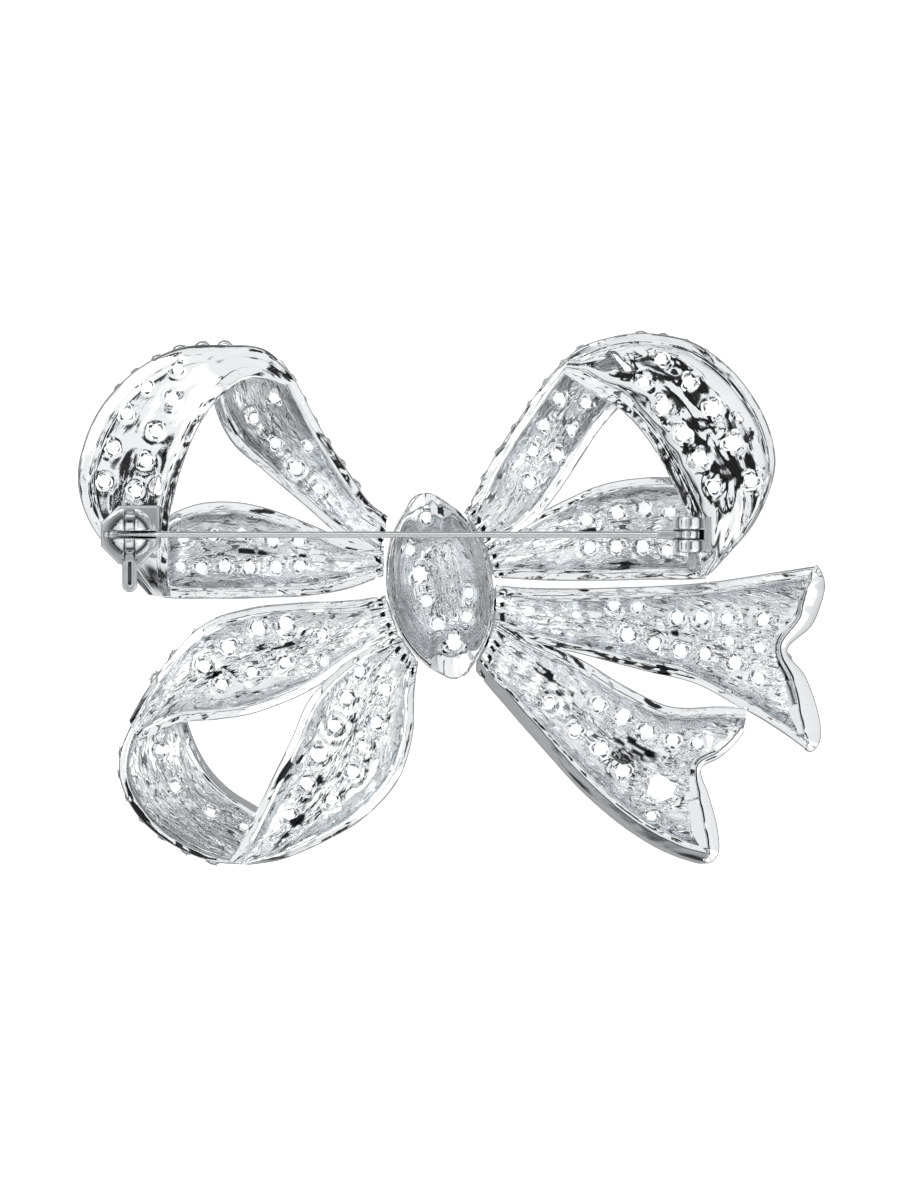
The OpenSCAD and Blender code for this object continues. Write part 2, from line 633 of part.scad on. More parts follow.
eye_r = rivet_d / 2 + 0.65;
eye_t = pin_d + 0.24;
ear_gap = eye_t + 2 * run_gap;
module at_hinge() {
    translate([hinge_x, pin_y, pin_z]) children();
}
module along_y(r, length) {
    rotate([90, 0, 0]) cylinder(r = r, h = length, center = true, $fn = ROUND);
}
module pin_bracket() {
    ear_r = 1.5;
    back_x = eye_r + 0.35;
    back_t = 0.7;
    half_w = ear_gap / 2 + ear_t;
    foot_y = 3.25;
    foot_h = 1.3;
    drop = pin_z - plate_z;
    color(METAL) at_hinge() difference() {
        union() {
            for (side = [-1, 1]) {
                translate([0, side * (ear_gap + ear_t) / 2, 0]) {
                    along_y(ear_r, ear_t);
                    translate([-ear_r, -ear_t / 2, -drop]) cube([2 * ear_r, ear_t, drop]);
                }
            }
            translate([back_x, -half_w, -drop]) cube([back_t, 2 * half_w, drop]);
            translate([-ear_r, -half_w, -drop])
                cube([ear_r + back_x + back_t, 2 * half_w, plate_t]);
            // The small upright plate beside the lower ear
            translate([0, -foot_y, -drop]) cube([plate_t, foot_y - half_w + 0.1, foot_h]);
        }
        along_y(rivet_d / 2 + 0.01, 4 * half_w);
    }
}
module hinge_rivet() {
    color(METAL) at_hinge() along_y(rivet_d / 2, ear_gap + 2 * ear_t);
}
module pin_stem() {
    tongue = 3;
    tongue_h = pin_d + 0.1;
    tip = hinge_x - catch_x + 1.2;
    // The wire keeps its full width up to the ball and tapers to its point inside it
    taper_at = hinge_x - catch_x - ball_r - 0.3;
    color(METAL) at_hinge() difference() {
        union() {
            along_y(eye_r, eye_t);
            translate([-tongue, -eye_t / 2, -tongue_h / 2]) cube([tongue, eye_t, tongue_h]);
            translate([-(tongue + taper_at) / 2, 0, 0]) along_x(pin_d / 2, taper_at - tongue);
            translate([-taper_at, 0, 0]) rotate([0, -90, 0])
                cylinder(r1 = pin_d / 2, r2 = 0.08, h = tip - taper_at, $fn = ROUND);
        }
        along_y(rivet_d / 2 + run_gap, 5);
    }
}

upper_left_loop();
upper_right_loop();
lower_left_loop();
tails();
knot();
stones_upper_left();
stones_upper_right();
stones_lower_left();
stones_tails();
stones_knot();
catch_housing();
catch_lever();
pin_bracket();
hinge_rivet();
pin_stem();
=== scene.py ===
"""A bow brooch lying face down, seen from its back: hollow cast ribbons in bright plating, a cup for
a knot, clear stones on the front, and a hinged pin with a ball catch.

The outlines are drawn on a grid of 745 by 535 squares, as wide and as high as the bow, counted from
the middle of the bow. Heights are hundredths of the ribbon rise. Lengths are millimetres until a
mesh is made, and a mesh is in metres.
"""

from __future__ import annotations

import logging
import math
import sys
from dataclasses import dataclass, replace
from enum import Enum
from typing import Callable, Sequence

import bmesh
import bpy
import numpy as np
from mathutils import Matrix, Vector

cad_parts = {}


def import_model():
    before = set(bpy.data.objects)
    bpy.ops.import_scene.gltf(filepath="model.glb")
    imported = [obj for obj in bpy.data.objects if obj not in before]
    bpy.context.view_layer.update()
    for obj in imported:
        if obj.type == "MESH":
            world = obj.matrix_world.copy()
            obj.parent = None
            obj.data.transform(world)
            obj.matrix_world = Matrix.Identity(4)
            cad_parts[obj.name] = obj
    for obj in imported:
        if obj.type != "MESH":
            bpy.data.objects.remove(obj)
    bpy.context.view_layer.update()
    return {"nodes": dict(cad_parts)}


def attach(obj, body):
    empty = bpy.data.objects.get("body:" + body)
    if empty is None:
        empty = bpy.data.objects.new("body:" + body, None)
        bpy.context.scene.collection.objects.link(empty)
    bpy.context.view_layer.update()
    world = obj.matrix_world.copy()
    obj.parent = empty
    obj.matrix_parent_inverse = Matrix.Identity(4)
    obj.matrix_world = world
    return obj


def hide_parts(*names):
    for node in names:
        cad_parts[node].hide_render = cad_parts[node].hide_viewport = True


LOG = logging.getLogger("bow_brooch")

MM = 0.001
FULL_TURN = 2 * math.pi
GRID_W = 745
GRID_H = 535
SHARP_DEGREES = 38
RIBBON_MAP = "ribbon"
COARSE = "coarse"
# Point attribute for painted shade: how far a point of a casting is darkened towards the painted shade tint.
PAINTED_SHADE = "painted_shade"

Pair = tuple[float, float]
Row = tuple[float, ...]
Hole = tuple[float, float, float, float]
Colour = tuple[float, float, float]
Point = tuple[float, float, float]
Column = tuple[np.ndarray, np.ndarray, float]
Seat = tuple[np.ndarray, np.ndarray, float]
Height = Callable[[float, float], float]
Aim = Callable[[float, float], Pair]


@dataclass(frozen=True)
class BowSizes:
    """The driving sizes of the bow, in millimetres, as the solids have them."""

    width: float = 70.0
    height: float = 50.3
    ribbon_rise: float = 6.5
    floor: float = 0.9
    seat: float = 0.22
    edge_stone: float = 1.35
    stone_gap: float = 0.24
    crown: float = 0.4
    pavilion: float = 0.4
    seam: float = 0.1

    @property
    def front(self) -> float:
        """Height of the lowest channel floor above the table."""
        return self.floor + self.stone_gap + self.crown

    @property
    def low(self) -> float:
        """Height of the lowest front face above the table."""
        return self.front - self.floor

    @property
    def square(self) -> float:
        """Side of a grid square, along the width."""
        return self.width / GRID_W

    def grid(self, x: float, y: float) -> np.ndarray:
        """Place of a grid point, in millimetres."""
        return np.array([x * self.width / GRID_W, y * self.height / GRID_H])

    def up(self, rise: float | np.ndarray) -> float | np.ndarray:
        """Millimetres for hundredths of the ribbon rise."""
        return rise * self.ribbon_rise / 100


SIZES = BowSizes()


class Cast(Enum):
    """How a ribbon's channel came out of its mould."""

    COARSE = 1.0
    SMOOTH = 0.05


class Boolean(Enum):
    """How two solids are put together."""

    JOIN = "UNION"
    CUT = "DIFFERENCE"


class Grain:
    """Smooth noise on a lattice of fixed random values, the same on every run."""

    def __init__(self, seed: int, cells: int = 128) -> None:
        """Fills the lattice from a seed, with so many cells along each side before it repeats."""
        self.cells = cells
        self.values = np.random.default_rng(seed).uniform(-1, 1, (cells, cells))

    def value(self, i: np.ndarray, j: np.ndarray) -> np.ndarray:
        """Value of some lattice points."""
        return self.values[i % self.cells, j % self.cells]

    def at(self, x: np.ndarray, y: np.ndarray) -> np.ndarray:
        """Noise at some places, between -1 and 1.

        Args:
            x: First coordinates, in cells.
            y: Second coordinates, in cells.

        Returns:
            One value for each place.
        """
        i, j = np.floor(x).astype(int), np.floor(y).astype(int)
        u, v = x - i, y - j
        u, v = u * u * (3 - 2 * u), v * v * (3 - 2 * v)
        near = self.value(i, j) * (1 - u) + self.value(i + 1, j) * u
        far = self.value(i, j + 1) * (1 - u) + self.value(i + 1, j + 1) * u
        return near * (1 - v) + far * v


@dataclass(frozen=True)
class Layer:
    """One layer of a ribbon's relief: its depth, and how long and wide its lumps are, in millimetres."""

    depth: float
    long: float
    wide: float
    shift: float = 0.0

    def over(
        self, grain: Grain, along: np.ndarray, across: np.ndarray,
        sway: np.ndarray | float = 0.0, slant: np.ndarray | float = 0.0,
    ) -> np.ndarray:
        """Height of the layer at some places, with its lines swung and its lumps slanted by some cells."""
        return self.depth * grain.at(along / self.long + self.shift + slant, across / self.wide + sway)


@dataclass(frozen=True)
class RingLayer:
    """One layer of relief round the knot: its depth, and how often it changes each way."""

    depth: float
    across: float
    shift: float
    up: float
    inwards: float

    def over(self, grain: Grain, angle: np.ndarray, row: np.ndarray) -> np.ndarray:
        """Height of the layer at some angles round the knot and some shares of its section."""
        x = self.across * np.cos(angle) + self.shift
        return self.depth * grain.at(x, self.up * np.sin(angle) + self.inwards * row)


def smooth_step(low: float, high: float, x: np.ndarray) -> np.ndarray:
    """Goes from 0 at low to 1 at high, level at both ends."""
    t = np.clip((x - low) / (high - low), 0, 1)
    return t * t * (3 - 2 * t)


def bell(x: np.ndarray, middle: float | np.ndarray, width: float) -> np.ndarray:
    """A rounded bump, 1 at its middle."""
    return np.exp(-((x - middle) / width) ** 2)


def comb(distance: np.ndarray, wander: np.ndarray, low: float) -> np.ndarray:
    """A row of teeth along a distance, 1 in each and 0 between them, which stray as wander says."""
    pitch = 0.68
    return smooth_step(low, 0.7, np.cos(distance * FULL_TURN / pitch + 2 * wander))


def seat_at(height: Height, x: float, y: float, radius: float, step: float) -> Seat:
    """Where a stone sits on the front of a casting.

    Args:
        height: Gives the height of the front face at a place.
        x: Across the bow, in millimetres.
        y: Up the bow, in millimetres.
        radius: Radius of the stone.
        step: How far to each side the slope is taken.

    Returns:
        Point on the front face, unit vector straight out of it, and radius.
    """
    slope_x = (height(x + step, y) - height(x - step, y)) / (2 * step)
    slope_y = (height(x, y + step) - height(x, y - step)) / (2 * step)
    normal = np.array([slope_x, slope_y, -1.0])
    return np.array([x, y, height(x, y)]), normal / np.linalg.norm(normal), radius


def curve(rows: np.ndarray, s: np.ndarray) -> np.ndarray:
    """Smooth curve through the rows of a table.

    Args:
        rows: The table.
        s: Places along it, in rows.

    Returns:
        One row for each place.
    """
    n = len(rows)
    i = np.clip(np.floor(s).astype(int), 0, n - 2)
    f = (s - i)[:, None]
    p, q, r = rows[np.clip(i - 1, 0, n - 1)], rows[i], rows[i + 1]
    w = rows[np.clip(i + 2, 0, n - 1)]
    return q + 0.5 * f * ((r - p) + f * ((2 * p - 5 * q + 4 * r - w) + f * (3 * (q - r) + w - p)))


def channel(x: np.ndarray) -> np.ndarray:
    """Depth of a ribbon's section, from 1 in the middle to 0 at its edge."""
    return (1 - np.clip(np.abs(x), 0, 1) ** 2.4) ** 0.55


def ring_of(count: int, radius: float, z: float, shift: float = 0.0) -> list[Point]:
    """Points at even steps round the Z axis, turned by a share of a step."""
    turns = [(j + shift) * FULL_TURN / count for j in range(count)]
    return [(radius * math.cos(turn), radius * math.sin(turn), z) for turn in turns]


def loft(rings: int, sides: int, start: int = 0, turned: bool = False) -> list[Sequence[int]]:
    """Faces of a closed skin through rings of points, with a cap at both ends.

    Args:
        rings: How many rings.
        sides: Points in each ring.
        start: Number of the first point.
        turned: Whether the faces are turned round.

    Returns:
        The points of each face.
    """
    last = start + (rings - 1) * sides
    faces: list[Sequence[int]] = []
    for ring in range(start, last, sides):
        for j in range(sides):
            a, b = ring + j, ring + (j + 1) % sides
            faces.append((a, a + sides, b + sides, b) if turned else (a, b, b + sides, a + sides))
    caps = [list(range(start, start + sides)), list(range(last, last + sides))]
    caps[1 if turned else 0].reverse()
    return faces + caps


def skin_normals(rings: np.ndarray) -> np.ndarray:
    """Unit normals of a skin through rings of points.

    Args:
        rings: The points, ring by ring.

    Returns:
        A normal for each point.
    """
    around = np.roll(rings, -1, 1) - np.roll(rings, 1, 1)
    normal = np.cross(around, np.gradient(rings, axis=0))
    return normal / (np.linalg.norm(normal, axis=2, keepdims=True) + 1e-9)


def new_object(name: str, points: np.ndarray, faces: Sequence[Sequence[int]]) -> bpy.types.Object:
    """A mesh object in the scene.

    Args:
        name: Its name.
        points: Its points, in millimetres.
        faces: The points of each face.

    Returns:
        The object, which sits at the origin.
    """
    mesh = bpy.data.meshes.new(name)
    mesh.from_pydata((np.asarray(points) * MM).tolist(), [], faces)
    obj = bpy.data.objects.new(name, mesh)
    bpy.context.scene.collection.objects.link(obj)
    return obj


def set_point_value(obj: bpy.types.Object, name: str, values: np.ndarray) -> None:
    """Writes a named attribute, one number for each point of a mesh."""
    layer = obj.data.attributes.new(name, "FLOAT", "POINT")
    layer.data.foreach_set("value", np.asarray(values, np.float32))


def set_map(obj: bpy.types.Object, name: str, values: np.ndarray) -> None:
    """Writes a UV map from two numbers for each point of a mesh.

    Args:
        obj: The object.
        name: Name of the map.
        values: The numbers, a pair for each point.
    """
    mesh = obj.data
    corners = np.zeros(len(mesh.loops), np.int32)
    mesh.loops.foreach_get("vertex_index", corners)
    layer = mesh.uv_layers.new(name=name)
    layer.data.foreach_set("uv", np.asarray(values, np.float32)[corners].ravel())


def evaluated_mesh(obj: bpy.types.Object) -> bpy.types.Mesh:
    """The mesh that an object's modifiers give."""
    graph = bpy.context.evaluated_depsgraph_get()
    return bpy.data.meshes.new_from_object(
        obj.evaluated_get(graph), preserve_all_data_layers=True, depsgraph=graph)


def combine(base: bpy.types.Object, tool: bpy.types.Object, how: Boolean) -> None:
    """Joins a second solid to a first, or cuts it out of it, and removes the second.

    Args:
        base: The object that keeps the result.
        tool: The second object.
        how: Join or cut.
    """
    modifier = base.modifiers.new(how.name, "BOOLEAN")
    modifier.operation = how.value
    modifier.solver = "MANIFOLD"
    modifier.object = tool
    mesh = evaluated_mesh(base)
    base.modifiers.clear()
    base.data = mesh
    bpy.data.objects.remove(tool, do_unlink=True)


def face_outwards(obj: bpy.types.Object) -> None:
    """Turns a closed mesh round if its faces point inwards.

    Args:
        obj: The object that has the mesh.
    """
    shape = bmesh.new()
    shape.from_mesh(obj.data)
    if shape.calc_volume(signed=True) < 0:
        bmesh.ops.reverse_faces(shape, faces=shape.faces)
        shape.to_mesh(obj.data)
    shape.free()


def shade(obj: bpy.types.Object, degrees: float) -> None:
    """Shades a mesh smooth, with sharp edges above an angle."""
    obj.data.shade_smooth()
    obj.data.set_sharp_from_angle(angle=math.radians(degrees))


def finish_piece(
    obj: bpy.types.Object, body: str, finishes: Sequence[bpy.types.Material],
    nodes: Sequence[str] = (),
) -> None:
    """Gives a piece its materials and its place in the frame.

    Args:
        obj: The piece.
        body: The body that it moves with.
        finishes: Its materials, or none where it has them.
        nodes: The solids that it stands for.
    """
    if finishes:
        obj.data.materials.clear()
        for finish in finishes:
            obj.data.materials.append(finish)
    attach(obj, body)
    if nodes:
        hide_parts(*nodes)
    LOG.info("%s: %d faces, on %s", obj.name, len(obj.data.polygons), body)


class NodeDesk:
    """Adds nodes to a material's or a group's tree in few words."""

    def __init__(self, tree: bpy.types.NodeTree) -> None:
        """Starts on an empty tree."""
        self.tree = tree
        tree.nodes.clear()

    def add(self, kind: str, settings: dict | None = None, **inputs: object) -> bpy.types.Node:
        """Adds a node.

        Args:
            kind: The node's type.
            settings: Properties of the node itself.
            inputs: A value or a socket for each input, by its name with _ for a space.

        Returns:
            The node.
        """
        node = self.tree.nodes.new(kind)
        for key, value in (settings or {}).items():
            setattr(node, key, value)
        for key, value in inputs.items():
            self.put(node.inputs[key.replace("_", " ")], value)
        return node

    def put(self, socket: bpy.types.NodeSocket, value: object) -> None:
        """Links a socket, or sets its value.

        Args:
            socket: The input.
            value: The output that it is linked to, or its value.
        """
        if isinstance(value, bpy.types.NodeSocket):
            self.tree.links.new(value, socket)
        else:
            socket.default_value = value

    def sums(self, operation: str, a: object, b: object) -> bpy.types.NodeSocket:
        """A sum of two numbers or sockets.

        Args:
            operation: The Math node's operation.
            a: First number.
            b: Second number.

        Returns:
            The result.
        """
        node = self.add("ShaderNodeMath", {"operation": operation})
        self.put(node.inputs[0], a)
        self.put(node.inputs[1], b)
        return node.outputs[0]

    def span(
        self, value: object, low: float, high: float, to_low: object = 0.0, to_high: object = 1.0
    ) -> bpy.types.NodeSocket:
        """Maps a range of numbers onto another.

        Args:
            value: The number.
            low: Start of its range.
            high: End of its range.
            to_low: What the start becomes.
            to_high: What the end becomes.

        Returns:
            The new number, which stays within the new range.
        """
        node = self.add("ShaderNodeMapRange")
        for index, number in enumerate((value, low, high, to_low, to_high)):
            self.put(node.inputs[index], number)
        return node.outputs[0]

    def blend(self, share: object, first: object, second: object) -> bpy.types.NodeSocket:
        """A mix of two colours.

        Args:
            share: Share of the second colour.
            first: First colour.
            second: Second colour.

        Returns:
            The colour.
        """
        node = self.add("ShaderNodeMix", {"data_type": "RGBA"})
        self.put(node.inputs["Factor"], share)
        self.put(node.inputs[6], first)
        self.put(node.inputs[7], second)
        return node.outputs[2]

    def ramp(self, value: object, stops: Sequence[tuple[float, Colour]]) -> bpy.types.NodeSocket:
        """Colours along a number.

        Args:
            value: The number.
            stops: Place and colour of each stop.

        Returns:
            The colour.
        """
        node = self.add("ShaderNodeValToRGB", Fac=value)
        steps = node.color_ramp.elements
        while len(steps) < len(stops):
            steps.new(0.5)
        for step, (place, colour) in zip(steps, stops):
            step.position = place
            step.color = (*colour, 1)
        return node.outputs["Color"]

    def noise(
        self, place: object, scale: float, detail: float = 2.0, roughness: float = 0.5,
        distortion: float = 0.0, flat: bool = False,
    ) -> bpy.types.NodeSocket:
        """Noise over space or over a map.

        Args:
            place: Where it is read.
            scale: How often it changes.
            detail: How many finer layers it has.
            roughness: How strong they are.
            distortion: How far it is stirred.
            flat: True over a map, which has two coordinates.

        Returns:
            The noise, about 0.5.
        """
        node = self.add(
            "ShaderNodeTexNoise", {"noise_dimensions": "2D" if flat else "3D"}, Vector=place, Scale=scale,
            Detail=detail, Roughness=roughness, Distortion=distortion,
        )
        return node.outputs["Fac"]

    def bump(
        self, strength: object, depth: float, height: object, normal: object = None
    ) -> bpy.types.NodeSocket:
        """A bump from a height.

        Args:
            strength: Its strength.
            depth: Its depth, in millimetres.
            height: The height.
            normal: The normal that it lies on, or None for the mesh's own.

        Returns:
            The new normal.
        """
        node = self.add("ShaderNodeBump", Strength=strength, Distance=depth * MM, Height=height)
        if normal is not None:
            self.put(node.inputs["Normal"], normal)
        return node.outputs["Normal"]

    def surface(self, **inputs: object) -> None:
        """Adds the shader of a material and its output."""
        shader = self.add("ShaderNodeBsdfPrincipled", **inputs)
        self.add("ShaderNodeOutputMaterial", Surface=shader.outputs["BSDF"])


def new_material(name: str) -> tuple[bpy.types.Material, NodeDesk]:
    """A material with an empty tree.

    Args:
        name: Its name.

    Returns:
        The material, and the desk that its nodes are added at.
    """
    made = bpy.data.materials.new(name)
    made.use_nodes = True
    return made, NodeDesk(made.node_tree)


@dataclass(frozen=True)
class Plating:
    """Bright plating: a mirror with a faint grain and swell."""

    name: str
    polish: float
    tint: Colour = (0.912, 0.93, 0.945)
    # Near-black colour that painted shade darkens the plating towards.
    painted_shade_tint: Colour = (0.02, 0.021, 0.024)
    grain_depth: float = 0.016
    swell_depth: float = 0.05

    def under(self, desk: NodeDesk) -> object:
        """The normal that the grain lies on, or None for the mesh's own."""
        return None

    def dress(
        self, desk: NodeDesk, roughness: object, normal: object
    ) -> tuple[object, object, object]:
        """The surface's colour, roughness and normal, here those of the plain plating."""
        return (*self.tint, 1), roughness, normal

    def material(self) -> bpy.types.Material:
        """Builds the material.

        Returns:
            The finished material.
        """
        made, desk = new_material(self.name)
        place = desk.add("ShaderNodeTexCoord").outputs["Object"]
        grain = desk.noise(place, scale=2600.0, detail=3.0, roughness=0.6)
        swell = desk.noise(place, scale=420.0)
        normal = desk.bump(0.25, self.grain_depth, grain, self.under(desk))
        normal = desk.bump(0.35, self.swell_depth, swell, normal)
        roughness = desk.span(grain, 0.3, 0.7, self.polish * 0.8, self.polish * 1.3)
        colour, roughness, normal = self.dress(desk, roughness, normal)
        desk.surface(Base_Color=colour, Metallic=1.0, Roughness=roughness, Normal=normal)
        return made


@dataclass(frozen=True)
class CastPlating(Plating):
    """Plating over a casting: a mirror on the rims, drawn out in fine creases in the mould.

    It reads the casting's ribbon map, its coarse attribute and its painted-shade attribute. The creases and
    the marked places are darkened with painted shade.
    """

    name: str = "bright_plating"
    polish: float = 0.045
    mould: float = 0.1
    # Colour of the painted shade along the creases.
    painted_crease_shade: Colour = (0.18, 0.19, 0.2)
    crease_depth: float = 0.21
    crease_steps: tuple[float, float, float] = (0.8, 2.9, 1.0)
    crease_floor: Pair = (0.38, 0.33)
    patch_scale: float = 0.24
    patch_edges: Pair = (0.4, 0.58)
    calm: float = 0.16
    dim_edges: Pair = (1.0, 1.6)
    dim_creases: float = 0.7
    coarsest: float = 1.15
    # Values of the painted-shade attribute between which painted shade goes from none to full.
    painted_shade_edges: Pair = (0.25, 0.75)

    def dress(
        self, desk: NodeDesk, roughness: object, normal: object
    ) -> tuple[object, object, object]:
        """Draws the creases, in calm and in lively patches, darkens them with painted shade, and paints shade
        where the casting is marked for it.

        Args:
            desk: Where its nodes are added.
            roughness: The plain plating's roughness.
            normal: The plain plating's normal.

        Returns:
            The casting's colour, roughness and normal.
        """
        coarse = desk.add("ShaderNodeAttribute", {"attribute_name": COARSE}).outputs["Fac"]
        painted_shade = desk.add("ShaderNodeAttribute", {"attribute_name": PAINTED_SHADE}).outputs["Fac"]
        run = desk.add("ShaderNodeUVMap", {"uv_map": RIBBON_MAP}).outputs["UV"]
        stretched = desk.add("ShaderNodeMapping", Vector=run, Scale=self.crease_steps).outputs["Vector"]
        lines = desk.noise(stretched, scale=1.0, distortion=0.9, flat=True)
        patches = desk.noise(run, scale=self.patch_scale, detail=1.0, distortion=0.6, flat=True)
        lively = desk.span(patches, *self.patch_edges, self.calm, 1.0)
        # Where coarseness passes 1, on the far part of a channel, the creases keep their full strength, and
        # with it their painted shade.
        dim = desk.span(coarse, *self.dim_edges, 0.0, self.dim_creases)
        capped = desk.sums("MINIMUM", coarse, self.coarsest)
        strength = desk.sums("MULTIPLY", capped, desk.sums("MAXIMUM", lively, dim))
        rough_part = desk.sums("MULTIPLY", strength, self.mould - self.polish)
        # Painted shade along the crease lines, in step with their strength.
        crease_shade = desk.sums("MULTIPLY", desk.span(lines, *self.crease_floor), strength)
        colour = desk.blend(crease_shade, (*self.tint, 1), (*self.painted_crease_shade, 1))
        # Painted shade where the casting's attribute marks it.
        colour = desk.blend(desk.span(painted_shade, *self.painted_shade_edges), colour, (*self.painted_shade_tint, 1))
        drawn = desk.bump(strength, self.crease_depth, lines, normal)
        return colour, desk.sums("ADD", roughness, rough_part), drawn


@dataclass(frozen=True)
class PolishedPlating(Plating):
    """Plating over a turned or a bent piece: rounded edges, satin flats greyed with painted shade, and nooks
    darkened with painted shade.
    """

    # Grey of the painted shade on flats that face straight up.
    painted_flat_shade: Colour = (0.68, 0.7, 0.72)
    flat_edges: Pair = (0.985, 0.999)
    satin: float = 0.32
    # Reach of the ambient occlusion that paints shade into the nooks.
    nooks: float = 1.6
    nook_edges: Pair = (0.3, 0.7)
    edge_round: float = 0.45

    def under(self, desk: NodeDesk) -> object:
        """The normal of the rounded edges."""
        return desk.add("ShaderNodeBevel", {"samples": 8}, Radius=self.edge_round * MM).outputs["Normal"]

    def dress(
        self, desk: NodeDesk, roughness: object, normal: object
    ) -> tuple[object, object, object]:
        """Greys the level flats with painted shade and darkens the nooks with painted shade from ambient
        occlusion.

        Args:
            desk: Where its nodes are added.
            roughness: The plain plating's roughness.
            normal: The plain plating's normal.

        Returns:
            The piece's colour, roughness and normal.
        """
        facing = desk.add("ShaderNodeNewGeometry").outputs["True Normal"]
        level = desk.add("ShaderNodeSeparateXYZ", Vector=facing).outputs["Z"]
        on_flat = desk.span(level, *self.flat_edges)
        roughness = desk.sums("MAXIMUM", roughness, desk.sums("MULTIPLY", on_flat, self.satin))
        # Painted shade in the nooks, darker where less of the sky is open.
        sky = desk.add("ShaderNodeAmbientOcclusion", {"samples": 12}, Distance=self.nooks * MM)
        nook = desk.span(sky.outputs["AO"], *self.nook_edges, 1.0, 0.0)
        # Painted shade greys the flats that face straight up.
        colour = desk.blend(on_flat, (*self.tint, 1), (*self.painted_flat_shade, 1))
        return desk.blend(nook, colour, (*self.painted_shade_tint, 1)), roughness, normal


@dataclass(frozen=True)
class ClearStone:
    """Clear cut glass with a faint uneven tint."""

    name: str = "clear_cut_glass"
    tint: Colour = (0.97, 0.98, 0.99)
    shade: Colour = (0.88, 0.91, 0.94)
    shade_place: float = 0.35
    tint_place: float = 0.6
    roughness: float = 0.02
    refraction: float = 1.54
    scratch_depth: float = 0.01

    def material(self) -> bpy.types.Material:
        """Builds the material.

        Returns:
            The finished material.
        """
        made, desk = new_material(self.name)
        place = desk.add("ShaderNodeTexCoord").outputs["Object"]
        cloud = desk.noise(place, scale=380.0)
        scratches = desk.noise(place, scale=1800.0, roughness=0.6)
        desk.surface(
            Base_Color=desk.ramp(cloud, [(self.shade_place, self.shade), (self.tint_place, self.tint)]),
            Roughness=self.roughness, IOR=self.refraction, Transmission_Weight=1.0,
            Normal=desk.bump(0.08, self.scratch_depth, scratches),
        )
        return made


